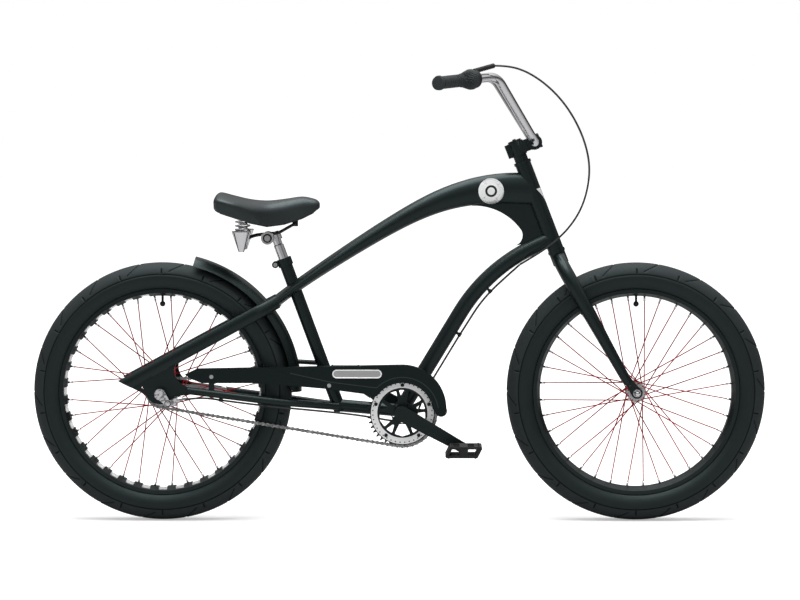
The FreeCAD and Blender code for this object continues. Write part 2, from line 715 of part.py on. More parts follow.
def rim_strip(axle):
    low = rim_radius + s.rim_wall
    well = s.rim_well_width / 2 - 2.2
    high = bead_radius - 1.6
    edge = half_bead - 8.6
    outer = [(low + 0.05, -well), (low + 0.05, well), (high, edge), (high, edge - 1.6),
             (low + 1.3, well - 0.6), (low + 1.3, -(well - 0.6)), (high, -(edge - 1.6)), (high, -edge)]
    strip = turned("rim_strip_turned", outer, axle, side_axis)
    hole = rod("strip_hole", axle + up_axis * (rim_radius - 5), up_axis, s.valve_diameter / 2 + 0.3, 20)
    node("rear_rim_strip", cut("rear_rim_strip", strip, [hole]))


def spoke_ends(index, circle, offset):
    # Hub end and rim end of one crossed spoke, about a wheel centre at the origin.
    count = int(s.spoke_count)
    step = 360.0 / count
    side = 1 if index % 2 else -1
    trailing = (index // 2) % 2
    rim_angle = math.radians(index * step + step / 2)
    hub_angle = rim_angle + math.radians((6 if trailing else -6) * step)
    shift = s.flange_thickness / 2 + s.spoke_diameter / 2 + 0.05
    hub_y = side * (offset + shift if trailing else offset - shift)
    rim_y = side * (6.0 if trailing else 2.5)
    reach = rim_radius - 0.15
    hub_end = Vector(circle * math.cos(hub_angle), hub_y, circle * math.sin(hub_angle))
    rim_end = Vector(reach * math.cos(rim_angle), rim_y, reach * math.sin(rim_angle))
    pin_way = -side if trailing else side
    return hub_end, rim_end, pin_way


def spokes(label, axle, circle, offset):
    pieces = []
    radius = float(s.spoke_diameter / 2)
    for index in range(int(s.spoke_count)):
        hub_end, rim_end, pin_way = spoke_ends(index, circle, offset)
        way = (rim_end - hub_end).normalize()
        length = (rim_end - hub_end).Length
        spoke = bar_shape(hub_end, way, radius, length - 1)
        nipple = bar_shape(rim_end - way * s.nipple_length, way, s.nipple_diameter / 2, s.nipple_length)
        pin = bar_shape(hub_end, Vector(0, pin_way, 0), radius, s.flange_thickness + 1.4)
        solid = spoke.fuse([nipple, pin])
        solid.translate(axle)
        pieces.append(largest(solid))
    node(label, feature(label, Part.makeCompound(pieces)))


def spoke_holes(axle, circle, offset):
    holes = []
    for index in range(int(s.spoke_count)):
        hub_end, rim_end, pin_way = spoke_ends(index, circle, offset)
        radius = s.spoke_diameter / 2 + 0.15
        hole = bar_shape(hub_end, Vector(0, pin_way, 0), radius, s.flange_thickness + 4)
        groove = bar_shape(hub_end, rim_end - hub_end, radius, circle)
        for tool in (hole, groove):
            tool.translate(axle)
            holes.append(tool)
    return Part.makeCompound(holes)


def front_hub():
    half, flange = s.front_hub_width / 2, s.front_flange_spacing / 2
    rim_r, barrel = s.front_flange_diameter / 2, s.front_barrel_diameter / 2
    bore, seat = s.axle_diameter / 2 + 3, s.hub_bearing_diameter / 2
    thick = s.flange_thickness / 2
    right = [(barrel, 0), (barrel, flange - thick - 3), (barrel + 2, flange - thick),
             (rim_r, flange - thick), (rim_r, flange + thick), (barrel + 3, flange + thick),
             (barrel + 1, half), (seat, half), (seat, half - s.hub_bearing_width),
             (bore, half - s.hub_bearing_width), (bore, 0)]
    left = [(a, -b) for a, b in reversed(right[1:-1])]
    shell = turned("front_hub_turned", right + left, front_axle, side_axis)
    holes = feature("front_hub_holes", spoke_holes(front_axle, float(rim_r) - 3.5, float(flange)))
    pieces = [cut("front_hub_shell", shell, [holes])]
    for name, start in (("right", -half), ("left", half - s.hub_bearing_width)):
        pieces.append(tube("front_bearing_" + name, front_axle + side_axis * start, side_axis, seat,
                           s.axle_diameter / 2 + s.running_gap, s.hub_bearing_width))
    node("front_hub", group("front_hub", pieces))


def rear_hub():
    flange, thick = s.rear_flange_spacing / 2, s.flange_thickness / 2
    rim_r, barrel = s.rear_flange_diameter / 2, s.rear_barrel_diameter / 2
    bore, seat = s.rear_barrel_diameter / 2 - 5, s.axle_diameter / 2 + 14
    right, left = -s.rear_hub_right, s.rear_hub_left
    corners = [(barrel - 6, right), (barrel - 2, right + 4), (barrel, -flange - thick),
               (rim_r, -flange - thick), (rim_r, thick - flange), (barrel, thick - flange),
               (barrel, flange - thick), (rim_r, flange - thick), (rim_r, flange + thick),
               (barrel, flange + thick), (barrel - 2, left - 4), (barrel - 7, left), (seat, left),
               (seat, left - 9), (bore, left - 9), (bore, right + 9), (seat, right + 9), (seat, right)]
    shell = turned("rear_hub_turned", corners, rear_axle, side_axis)
    holes = feature("rear_hub_holes", spoke_holes(rear_axle, float(rim_r) - 4, float(flange)))
    pieces = [cut("rear_hub_shell", shell, [holes])]
    bearing = tube("rear_bearing", rear_axle + side_axis * (left - 9), side_axis, seat,
                   s.axle_diameter / 2 + s.running_gap, 8.5)
    pieces.append(bearing)
    node("rear_hub", group("rear_hub", pieces))


def hexagon(name, base, axis, across, height, hole):
    prism = doc.addObject("Part::Prism", name + "_prism")
    prism.Polygon = 6
    bind(prism, "Circumradius", across * 0.5774)
    bind(prism, "Height", height)
    prism.Placement = Placement(base, turn(axis))
    bore = rod(name + "_bore", base - axis, axis, hole, height + 2)
    return cut(name, prism, [bore])


def axle_set(label, axle, width, plate, hub_right, hub_left, tip, domed):
    # Axle, the two spacers between hub and fork or frame, washers and nuts, domed ones on request.
    radius = s.axle_diameter / 2
    half = width / 2
    reach = half + plate + tip
    pieces = [rod(label + "_rod", axle - side_axis * reach, side_axis, radius, reach * 2)]
    for name, way, hub in (("right", -side_axis, hub_right), ("left", side_axis, hub_left)):
        pieces.append(tube(label + "_spacer_" + name, axle + way * (hub + s.body_gap), way, radius + 3.4,
                           radius, half - hub - s.body_gap))
        outside = axle + way * (half + plate)
        pieces.append(tube(label + "_washer_" + name, outside, way, radius + 4.5, radius, s.washer_height))
        nut = hexagon(label + "_nut_" + name, outside + way * s.washer_height, way, s.nut_across, s.nut_height,
                      radius)
        if domed:
            base, wide = s.nut_height, s.nut_across / 2
            corners = [(0, base), (wide, base), (wide * 0.92, base + 2.5), (wide * 0.66, base + 5.5),
                       (wide * 0.3, base + 7), (0, base + 7.3)]
            dome = turned(label + "_dome_" + name, corners, outside + way * s.washer_height, way)
            nut = fuse(label + "_cap_nut_" + name, [nut, dome])
        pieces.append(nut)
    node(label, group(label, pieces))


# Drive

ring_pitch = s.chain_pitch / (2 * math.sin(math.pi / s.ring_teeth))
cog_pitch = s.chain_pitch / (2 * math.sin(math.pi / s.cog_teeth))


def heading(vector):
    return math.degrees(math.atan2(vector.z, vector.x))


def around_axle(centre, radius, degrees):
    angle = math.radians(degrees)
    return centre + Vector(float(radius) * math.cos(angle), 0, float(radius) * math.sin(angle))


def chain_layout():
    # Roller centres round the two sprockets, and the tooth phase of each sprocket.
    way = (crank_centre - rear_axle).normalize()
    rise = Vector(-way.z, 0, way.x)
    lean = (float(ring_pitch) - float(cog_pitch)) / float(s.chain_centres)
    upright_part = rise * math.sqrt(1 - lean * lean)
    over, under = way * -lean + upright_part, way * -lean - upright_part
    wrap = 2 * math.degrees(math.asin(lean))
    ring_units = (180 + wrap) / 360 * float(s.ring_teeth)
    cog_units = (180 - wrap) / 360 * float(s.cog_teeth)
    run = float(s.chain_centres) * math.sqrt(1 - lean * lean)
    total = 2 * round((ring_units + cog_units + 2 * run / float(s.chain_pitch)) / 2)
    run_units = (total - ring_units - cog_units) / 2
    ring_phase, under_turn = heading(over), heading(under)
    cog_phase = None
    points = []
    for i in range(total):
        place = i
        if place <= ring_units:
            turned_by = ring_phase - place * 360 / float(s.ring_teeth)
            points.append(around_axle(crank_centre, ring_pitch, turned_by))
            continue
        place -= ring_units
        if place <= run_units:
            start = crank_centre + under * float(ring_pitch)
            points.append(start + (rear_axle + under * float(cog_pitch) - start) * (place / run_units))
            continue
        place -= run_units
        if place <= cog_units:
            turned_by = under_turn - place * 360 / float(s.cog_teeth)
            cog_phase = turned_by if cog_phase is None else cog_phase
            points.append(around_axle(rear_axle, cog_pitch, turned_by))
            continue
        place -= cog_units
        start = rear_axle + over * float(cog_pitch)
        points.append(start + (crank_centre + over * float(ring_pitch) - start) * (place / run_units))
    return points, ring_phase, cog_phase


chain_points, ring_phase, cog_phase = chain_layout()


def link_plate(length, low, high):
    radius = 4.1
    edges = [line(flat(0, radius), flat(length, radius)),
             arc(flat(length, radius), flat(length + radius, 0), flat(length, -radius)),
             line(flat(length, -radius), flat(0, -radius)),
             arc(flat(0, -radius), flat(-radius, 0), flat(0, radius))]
    return plate_shape(edges, low, high)


def chain():
    length = float(s.chain_pitch)
    half, thick = float(s.chain_inner_width) / 2, float(s.plate_thickness)
    roller = float(s.roller_diameter) / 2
    pin, bush, gap = 1.75, 1.95, 0.2
    inner = link_plate(length, half, half + thick).fuse([link_plate(length, -half - thick, -half)] + [
        bar_shape(Vector(x, -half, 0), side_axis, roller, 2 * half) for x in (0, length)])
    for x in (0, length):
        inner = inner.cut(bar_shape(Vector(x, -20, 0), side_axis, bush, 40))
    wide = half + thick + gap
    reach = wide + thick + 0.4
    outer = link_plate(length, wide, wide + thick).fuse([link_plate(length, -wide - thick, -wide)] + [
        bar_shape(Vector(x, -reach, 0), side_axis, pin, 2 * reach) for x in (0, length)])
    links = []
    for i, start in enumerate(chain_points):
        way = chain_points[(i + 1) % len(chain_points)] - start
        link = (outer if i % 2 else inner).copy()
        link.Placement = Placement(start - side_axis * s.chain_line, Rotation(side_axis, -heading(way)))
        links.append(link)
    print("chain links", len(links))
    node("chain", feature("chain", Part.makeCompound(links)))


def toothed(centre, teeth, pitch_radius, phase, thickness):
    edges = []
    seat = float(s.roller_diameter) / 2 + 0.1
    count = int(teeth)
    pitch = float(pitch_radius)
    step = 360.0 / count
    spread = math.degrees(seat / pitch)
    tip, tip_half = pitch + 3.6, math.degrees(1.2 / (pitch + 3.6))
    for i in range(count):
        at = phase + i * step
        left, right = around_axle(centre, pitch, at - spread), around_axle(centre, pitch, at + spread)
        edges.append(arc(left, around_axle(centre, pitch - seat, at), right))
        first = around_axle(centre, tip, at + step / 2 - tip_half)
        second = around_axle(centre, tip, at + step / 2 + tip_half)
        following = around_axle(centre, pitch, at + step - spread)
        edges += polyline([right, first, second, following])
    return plate_shape(edges, -s.chain_line - thickness / 2, -s.chain_line + thickness / 2)


def window(centre, corners, angle):
    # Round-cornered opening through the chainring, given as radius and angle corners.
    points = [around_axle(centre, radius, angle + turn_by) for radius, turn_by in corners]
    solid = plate_shape(polyline(points + points[:1]), -200, 0)
    edges = [edge for edge in solid.Edges if abs(edge.tangentAt(edge.FirstParameter).y) > 0.9]
    return solid.makeFillet(2.5, edges)


def drill(distance, degrees, radius):
    # Hole tool along the crank axis at a distance and angle from it.
    spot = around_axle(crank_centre, distance, degrees)
    return bar_shape(spot - side_axis * 200, side_axis, radius, 200)


def chainring():
    outer = float(s.ring_plate_inner) / 2
    blank = toothed(crank_centre, s.ring_teeth, ring_pitch, ring_phase, s.tooth_thickness)
    tools = []
    wide = ((30, -15), (outer - 6, -20), (outer - 3, 0), (outer - 6, 20), (30, 15))
    narrow = ((33, 0), (outer - 5, -9), (outer - 5, 9))
    holes = []
    for i in range(5):
        at = 270 + 72 * i
        tools.append(window(crank_centre, wide, at))
        tools.append(window(crank_centre, narrow, at + 36))
        tools.append(drill(23.5, at, 3.2))
        holes.append(drill(outer + 7, 90 + 72 * i, 3))
    tools.append(drill(0, 0, s.spindle_diameter / 2))
    node("chainring", feature("chainring", largest(blank.cut(tools + holes))))
    face = -s.chain_line - s.tooth_thickness / 2
    plate = bar_shape(crank_centre + side_axis * (face - s.ring_plate_thickness), side_axis,
                      s.ring_plate_outer / 2, s.ring_plate_thickness)
    drills = [drill(0, 0, outer)] + [drill(outer + 11.5, 4.5 + 9 * i, 1.7) for i in range(40)]
    node("chainring_plate", feature("chainring_plate", plate.cut(drills + holes)))
    bolts = []
    for i in range(5):
        centre = around_axle(crank_centre, outer + 7, 90 + 72 * i)
        shank = bar_shape(centre - side_axis * (s.chain_line + 5), side_axis, 3, 7)
        head = bar_shape(centre + side_axis * (face - s.ring_plate_thickness - 1.6), side_axis, 4.6, 1.6)
        bolts.append(shank.fuse(head).removeSplitter())
    for way in (-1, 1):
        end = crank_centre + side_axis * (way * (s.crank_inner_face + s.crank_thickness - 3))
        bolts.append(bar_shape(end, side_axis * way, 10.5, 4))
    return feature("crank_bolts", Part.makeCompound(bolts))


def belt_edges(first, first_radius, second, second_radius):
    # Outline round two circles joined by their outer tangents.
    way = second - first
    lean = math.degrees(math.acos((first_radius - second_radius) / way.Length))
    turn_by = heading(way)
    a = around_axle(first, first_radius, turn_by + lean)
    b = around_axle(first, first_radius, turn_by - lean)
    c = around_axle(second, second_radius, turn_by - lean)
    d = around_axle(second, second_radius, turn_by + lean)
    return [arc(a, around_axle(first, first_radius, turn_by + 180), b), line(b, c),
            arc(c, around_axle(second, second_radius, turn_by), d), line(d, a)]


def pedal_centre(way):
    # Right pedal for -1, left pedal for 1, at rest.
    angle = -float(s.crank_lean) if way < 0 else 180 - float(s.crank_lean)
    return around_axle(crank_centre, s.crank_length, angle)


arm_outer = s.crank_inner_face + s.crank_thickness


def crank_arm(label, way):
    end = pedal_centre(way)
    low, high = sorted((way * float(s.crank_inner_face), way * float(arm_outer)))
    edges = belt_edges(crank_centre, float(s.crank_boss_diameter) / 2, end, float(s.crank_end_diameter) / 2)
    arm = plate_shape(edges, low, high)
    inside = s.chain_line + s.tooth_thickness / 2 if way < 0 else s.shell_width / 2 + 3
    boss = bar_shape(crank_centre + side_axis * (way * inside), side_axis * way,
                     s.crank_boss_diameter / 2 - 2, s.crank_inner_face - inside)
    along = end - crank_centre
    groove = belt_edges(crank_centre + along * 0.24, 5, crank_centre + along * 0.78, 3.5)
    face = way * float(arm_outer)
    slot = plate_shape(groove, min(face, face - way * 1.5), max(face, face - way * 1.5))
    hole = bar_shape(crank_centre - side_axis * 200, side_axis, s.spindle_diameter / 2, 400)
    cap = bar_shape(crank_centre + side_axis * (way * (arm_outer - 3)), side_axis * way, 10.5, 20)
    screw = bar_shape(end - side_axis * 300, side_axis, s.pedal_axle_diameter / 2, 600)
    node(label, feature(label, arm.fuse(boss).cut([hole, slot, cap, screw]).removeSplitter()))


def crank_spindle(bolts):
    half = arm_outer - 3
    node("crank_spindle", rod("crank_spindle", crank_centre - side_axis * half, side_axis,
                              s.spindle_diameter / 2, half * 2))
    axles = []
    for name, way in (("right", -1), ("left", 1)):
        start = pedal_centre(way) + side_axis * (way * s.crank_inner_face)
        length = s.crank_thickness + s.pedal_gap + s.pedal_width - 6
        shaft = rod("pedal_shaft_" + name, start, side_axis * way, s.pedal_axle_diameter / 2, length)
        collar = rod("pedal_collar_" + name, start + side_axis * (way * s.crank_thickness),
                     side_axis * way, s.pedal_axle_diameter / 2 + 2.5, s.pedal_gap - 1)
        axles.append(fuse("pedal_axle_" + name, [shaft, collar]))
    node("crank_hardware", group("crank_hardware", axles + [bolts]))


def pedal(label, way):
    centre = pedal_centre(way)
    half_l, half_h, lean = float(s.pedal_length) / 2, float(s.pedal_height) / 2, float(s.pedal_lean)
    inside, width = float(arm_outer + s.pedal_gap), float(s.pedal_width)
    low, high = sorted((way * inside, way * (inside + width)))
    c = centre
    corners = [c + Vector(-half_l + lean, 0, half_h), c + Vector(half_l, 0, half_h),
               c + Vector(half_l - lean, 0, -half_h), c + Vector(-half_l, 0, -half_h)]
    body = plate_shape(polyline(corners + corners[:1]), low, high)
    long_edges = [edge for edge in body.Edges if abs(edge.tangentAt(edge.FirstParameter).y) > 0.9]
    body = body.makeFillet(4, long_edges)
    windows = []
    for start, length in ((-half_l + lean + 8, 16), (half_l - lean - 24, 16)):
        for side in (10, width / 2 + 4):
            y = low + side
            windows.append(Part.makeBox(length, width / 2 - 14, 80, c + Vector(start, y, -40)))
    for end in (-1, 1):
        reach, slope = end * (half_l - lean / 2 - 8), lean / 2 / half_h
        far = [c + Vector(reach + rise * slope, 0, rise) for rise in (half_h - 6, 6 - half_h)]
        near = [c + Vector(end * 11, 0, rise) for rise in (6 - half_h, half_h - 6)]
        windows.append(plate_shape(polyline(far + near + far[:1]), low - 1, high + 1))
    hollow = bar_shape(c + side_axis * (way * (inside - 1)), side_axis * way,
                       s.pedal_axle_diameter / 2 + s.running_gap, width - 4)
    cap = bar_shape(c + side_axis * (way * (inside + width - 1)), side_axis * way, 9.5, 3)
    body = body.cut(windows + [hollow]).fuse(cap)
    pins = []
    for x in (-half_l + lean / 2 + 8, half_l - lean / 2 - 8):
        for y in (low + 12, low + width / 2, high - 12):
            pins.append(bar_shape(c + Vector(x + lean / 2 - 3, y, half_h - 1), up_axis, 1.7, 3.4))
            pins.append(bar_shape(c + Vector(x - lean / 2 + 3, y, -half_h + 1), -up_axis, 1.7, 3.4))
    node(label, feature(label, body.fuse(pins).removeSplitter()))


def rear_sprocket():
    inner = s.axle_diameter / 2 + s.running_gap
    blank = toothed(rear_axle, s.cog_teeth, cog_pitch, cog_phase, s.tooth_thickness)
    start = s.rear_hub_right + s.body_gap
    driver = bar_shape(rear_axle - side_axis * start, -side_axis, s.axle_diameter / 2 + 13,
                       s.chain_line + 4 - start)
    hole = bar_shape(rear_axle - side_axis * 200, side_axis, inner, 400)
    node("rear_sprocket", feature("rear_sprocket", blank.fuse(driver).cut(hole).removeSplitter()))


def bell_crank():
    anchor = rear_axle + Vector(50.4, 0, -11.6)
    pivot = rear_axle + Vector(19, 0, -23)
    inside = drop_inner + s.dropout_thickness + 12
    cap = bar_shape(rear_axle - side_axis * inside, -side_axis, 14, 18)
    low, high = -inside - 10.6, -inside - 6
    arms = [plate_shape(belt_edges(rear_axle, 13, pivot, 7), low, high),
            plate_shape(belt_edges(pivot, 6, anchor, 5.5), low, high)]
    pin = bar_shape(Vector(pivot.x, low, pivot.z), -side_axis, 3, 4.4)
    stop = bar_shape(anchor + Vector(-6, (low + high) / 2, 0), Vector(1, 0, 0), 4.2, 12)
    bore = bar_shape(rear_axle - side_axis * (inside + 12), side_axis, s.axle_diameter / 2, 30)
    wire = bar_shape(anchor + Vector(0, (low + high) / 2, 0), Vector(1, 0, 0),
                     s.cable_diameter / 2 + s.body_gap, 20)
    shape = cap.fuse(arms + [pin, stop]).cut([bore, wire]).removeSplitter()
    node("bell_crank_housing", feature("bell_crank_housing", shape))
    knee = pivot + Vector(20, 0, -2)
    lever = plate_shape(belt_edges(pivot, 6, knee, 4), low - 3.4, low - 0.4)
    lever = lever.cut(bar_shape(pivot - side_axis * 200, side_axis, 3 + s.running_gap, 200))
    node("bell_crank_lever", feature("bell_crank_lever", lever))


def brake_arm():
    inner, outer = s.rear_hub_left + 3, s.rear_hub_left + 6
    start, corner = chain_stay_points()[:2]
    way = (corner - start).normalize()
    spot = start + way * 85
    spot = Vector(spot.x, -spot.y, spot.z)
    way = Vector(way.x, -way.y, way.z)
    end = Vector(spot.x, 0, spot.z)
    plate = plate_shape(belt_edges(rear_axle, 17, end, 8), inner, outer)
    hole = bar_shape(rear_axle - side_axis * 200, side_axis, s.axle_diameter / 2 + 3.4, 400)
    screw_hole = bar_shape(end, side_axis, 3, 200)
    stay_r = s.chain_stay_diameter / 2
    strap = bar_shape(spot - way * 6, way, stay_r + 1.5, 12)
    strap = strap.cut(bar_shape(spot - way * 20, way, stay_r, 40))
    screw = bar_shape(end + side_axis * (inner - 3), side_axis, 3, spot.y - inner + 3)
    head = bar_shape(end + side_axis * (inner - 4), side_axis, 5, 4)
    screw = screw.fuse(head).cut(bar_shape(spot - way * 20, way, stay_r + 1.5, 40))
    pieces = [plate.cut([hole, screw_hole]), strap, screw]
    node("coaster_brake_arm", feature("coaster_brake_arm", Part.makeCompound(pieces)))


# Steering

def fork():
    crown_top = s.fork_height - s.body_gap
    top = s.stem_height + s.stem_clamp_height / 2 - 1
    crown = rod("crown", on_steer(crown_top - s.crown_height), steer_up, s.crown_diameter / 2,
                s.crown_height)
    shaft = rod("steerer", on_steer(crown_top - 5), steer_up, s.steerer_diameter / 2, top - crown_top + 5)
    bore = rod("steerer_bore", on_steer(crown_top - 60), steer_up, s.steerer_bore / 2, top - crown_top + 80)
    node("fork_steerer", cut("fork_steerer", fuse("fork_steerer_body", [crown, shaft]), [bore]))
    side = float(s.blade_side)
    wide, narrow = float(s.blade_top_width) / 2, float(s.blade_end_width) / 2
    low = s.front_axle_width / 2 + s.fork_end_thickness / 2
    runs = ((384, 0, 8), (368, 0.5, 32), (340, 4, side - 9), (300, 9.8, side - 1), (180, 27, side),
            (80, 41.5, low + 4), (32, 48.5, low))
    points = [on_steer(along, ahead, -y) for along, ahead, y in runs]
    halves = [wide, wide, wide, wide, (wide + narrow) / 2 + 0.5, narrow + 1, narrow]
    wall = float(s.blade_wall)
    shape = lofted(points, halves, halves)
    hollow = lofted(points, [h - wall for h in halves], [h - wall for h in halves])
    crown_shape = bar_shape(on_steer(crown_top - s.crown_height - 20), steer_up, s.crown_diameter / 2, 80)
    inner, outer = -s.front_axle_width / 2 - s.fork_end_thickness, -s.front_axle_width / 2
    end = plate_shape(belt_edges(front_axle, 14, on_steer(50, 46), 7), inner, outer)
    eyelet = bar_shape(on_steer(23, 50) - side_axis * 200, side_axis, 2.6, 400)
    axle_hole = bar_shape(front_axle - side_axis * 200, side_axis, s.axle_diameter / 2, 400)
    end = end.cut([eyelet, axle_hole])
    blade = largest(shape.cut(hollow).cut([crown_shape, end]))
    pieces = [blade, mirrored(blade), end, mirrored(end)]
    node("fork_blades", feature("fork_blades", Part.makeCompound(pieces)))


def stem_box(along, ahead, length, width, height):
    box = Part.makeBox(length, width, height, Vector(-length / 2, -width / 2, -height / 2))
    box.Placement = Placement(on_steer(along, ahead), turn(steer_up)).multiply(box.Placement)
    return box


def stem():
    h, reach = s.stem_height, s.stem_reach
    half, width = s.stem_clamp_height / 2, s.stem_bar_width
    clamp = bar_shape(on_steer(h - half), steer_up, s.stem_clamp_diameter / 2, s.stem_clamp_height)
    barrel = bar_shape(bar_centre - side_axis * (width / 2), side_axis, s.stem_bar_diameter / 2, width)
    web = stem_box(h, reach / 2, reach, s.stem_clamp_diameter - 4, s.stem_clamp_height - 6)
    lug = stem_box(h, -s.stem_clamp_diameter / 2 - 1, 14, 26, s.stem_clamp_height - 2)
    slot = stem_box(h, -s.stem_clamp_diameter / 2 - 1, 24, 2, s.stem_clamp_height + 10)
    post = bar_shape(on_steer(h - 60), steer_up, s.steerer_diameter / 2, 120)
    bar = bar_shape(bar_centre - side_axis * 100, side_axis, s.bar_diameter / 2, 200)
    ahead_half = stem_box(h, reach + 49.3, 100, 100, 100)
    behind_half = stem_box(h, reach - 49.3, 100, 100, 100)
    bolts, pinch = [], []
    for y in (-17, 17):
        for rise in (-14, 14):
            shank = bar_shape(on_steer(h + rise, reach - 12, y), steer_fwd, 2.5, 24)
            head = bar_shape(on_steer(h + rise, reach + 10, y), steer_fwd, 4.2, 6)
            bolts.append(shank.fuse(head).removeSplitter())
    for rise in (-9, 9):
        shank = bar_shape(on_steer(h + rise, -s.stem_clamp_diameter / 2 - 3, -16), side_axis, 2.5, 30)
        head = bar_shape(on_steer(h + rise, -s.stem_clamp_diameter / 2 - 3, -17), side_axis, 4.2, 5)
        pinch.append(shank.fuse(head).removeSplitter())
    body = clamp.fuse([barrel, web, lug]).cut([post, bar, slot, ahead_half] + bolts + pinch)
    node("stem", feature("stem", largest(body.removeSplitter())))
    face = barrel.fuse(stem_box(h, reach + 6, 12, width, 34)).cut([bar, behind_half] + bolts)
    node("stem_faceplate", feature("stem_faceplate", largest(face.removeSplitter())))
    cup_top = head_high + s.cup_height + s.body_gap
    spacer = bar_shape(on_steer(cup_top), steer_up, 17, h - half - cup_top).cut(post)
    cap = bar_shape(on_steer(h + half), steer_up, 17, s.cap_height)
    cap_screw = bar_shape(on_steer(h + half + s.cap_height), steer_up, 4.5, 3)
    small_pieces = Part.makeCompound([spacer, cap, cap_screw] + bolts + pinch)
    node("stem_hardware", feature("stem_hardware", small_pieces))


def bar_points(way):
    first = bar_centre + Vector(0, way * s.bar_centre_half, 0)
    second = bar_centre + Vector(-s.bar_setback, way * s.bar_corner_half, s.bar_rise)
    end = second + Vector(-s.bar_grip_back, way * s.bar_grip_out, -s.bar_grip_drop)
    return first, second, end


def handlebar():
    right, left = bar_points(-1), bar_points(1)
    path = rounded_path([right[2], right[1], right[0], left[0], left[1], left[2]], s.bar_bend)
    shape = swept(path, s.bar_diameter / 2).cut(swept(path, s.bar_diameter / 2 - s.bar_wall))
    node("handlebar", feature("handlebar", shape))


def grip_axis(way):
    _, corner, end = bar_points(way)
    return end, (corner - end).normalize()


def grips():
    bar, grip, flange = s.bar_diameter / 2, s.grip_diameter / 2, s.grip_flange_diameter / 2
    pieces = []
    for name, way, length in (("right", -1, s.grip_right_length), ("left", 1, s.grip_left_length)):
        end, axis = grip_axis(way)
        corners = [(0, -4), (flange - 4, -4), (flange, -1), (flange, 4), (grip, 6), (grip, length),
                   (bar, length), (bar, 0), (0, 0)]
        pieces.append(turned("grip_" + name, corners, end, axis))
    node("grips", group("grips", pieces))


def shifter():
    end, axis = grip_axis(-1)
    bar, grip, wide = s.bar_diameter / 2, s.grip_diameter / 2, s.twist_diameter / 2
    start = s.grip_right_length + s.body_gap
    stop = start + s.twist_length
    loose = bar + s.running_gap
    corners = [(loose, start), (grip, start), (grip + 1.5, start + 14), (wide - 2, stop - 12),
               (wide, stop - 8), (wide, stop), (loose, stop)]
    node("twist_grip", turned("twist_grip", corners, end, axis))
    first = stop + s.body_gap
    last = first + s.housing_length
    body = s.housing_diameter / 2
    corners = [(bar, first), (body, first), (body, last - 4), (body - 4, last), (bar, last)]
    ring = turned("housing_ring", corners, end, axis)
    base = end + axis * (first + s.housing_length / 2) + up_axis * (body - 3)
    way = (cable_start() - base).normalize()
    outlet = rod("housing_outlet", base, way, 6, (cable_start() - base).Length)
    hollow = rod("housing_hollow", end, axis, bar, last + 20)
    node("shifter_housing", cut("shifter_housing", fuse("housing_body", [ring, outlet]), [hollow]))


# Free cable loop: along the steering axis, ahead of it and to the side.
LOOP = (
    (882, 48, -217), (852, 86, -205), (806, 119, -192), (752, 143, -177), (694, 156, -160),
    (634, 159, -141), (577, 150, -121), (526, 126, -100), (483, 93, -80), (452, 53, -60),
    (433, 14, -44), (421, -22, -33), (412, -61, -22), (405, -98, -8),
)


def cable_start():
    # Where the cable leaves the shifter housing.
    end, axis = grip_axis(-1)
    middle = s.grip_right_length + s.twist_length + 2 * s.body_gap + s.housing_length / 2
    return end + axis * middle + Vector(48.2, 44.4, 32.6)


def soft_radii(points):
    radii = []
    for i in range(1, len(points) - 1):
        back, on = points[i - 1] - points[i], points[i + 1] - points[i]
        half = (math.pi - back.getAngle(on)) / 2
        radii.append(0.45 * min(back.Length, on.Length) / math.tan(half))
    return radii


def cable_loop():
    points = [cable_start()] + [on_steer(*spot) for spot in LOOP]
    radii = soft_radii(points)
    path = rounded_path(points, radii)
    solid = swept(path, s.cable_diameter / 2)
    flat_volume = math.pi * float(s.cable_diameter / 2) ** 2 * path.Length
    print("cable loop length", round(path.Length, 1), "volume ratio", round(solid.Volume / flat_volume, 4))
    print("cable loop radii", [round(r) for r in radii])
    node("shift_cable_loop", feature("shift_cable_loop", solid))


def down_offset(distance):
    # Point under the down tube at a distance along it from the crank, and the way to the tube.
    path = down_path()
    standoff = float(s.down_tube_diameter / 2 + s.cable_diameter / 2 + s.cable_standoff)
    at = 0.0
    for edge in path.Edges:
        if at + edge.Length >= distance:
            where = edge.getParameterByLength(distance - at)
            ahead = edge.tangentAt(where)
            outward = Vector(ahead.z, 0, -ahead.x)
            return edge.valueAt(where) + outward * standoff, -outward, ahead
        at += edge.Length


def frame_cable_points():
    points = [down_offset(distance)[0] + Vector(0, side, 0)
              for distance, side in ((430, -3), (380, 0), (330, 0), (240, 0), (150, 0), (75, -2))]
    start = on_steer(*LOOP[-1])
    points.insert(0, start + (points[0] - start).normalize() * (3 * float(s.body_gap)))
    cc, sf, ra = crank_centre, seat_foot, rear_axle
    points += [cc + Vector(34, -6, -14), cc + Vector(4, -11, -27), cc + Vector(-34, -15, -23),
               cc + Vector(-80, -21, -14), Vector(sf.x + 30, -27, sf.z - 20),
               Vector(sf.x - 20, -34, sf.z - 14), Vector(sf.x - 70, -45, sf.z - 8),
               Vector(sf.x - 125, -55, sf.z - 2), Vector(sf.x - 197, -61.5, sf.z + 6),
               ra + Vector(170, -65, -20), ra + Vector(110, -68, -11)]
    stop = drop_inner + s.dropout_thickness + 20.3
    return points + [ra + Vector(70, -stop, -11.6), ra + Vector(51, -stop, -11.6)]


def frame_cable():
    points = frame_cable_points()
    path = rounded_path(points, soft_radii(points))
    node("shift_cable_frame", feature("shift_cable_frame", swept(path, s.cable_diameter / 2)))
    return path


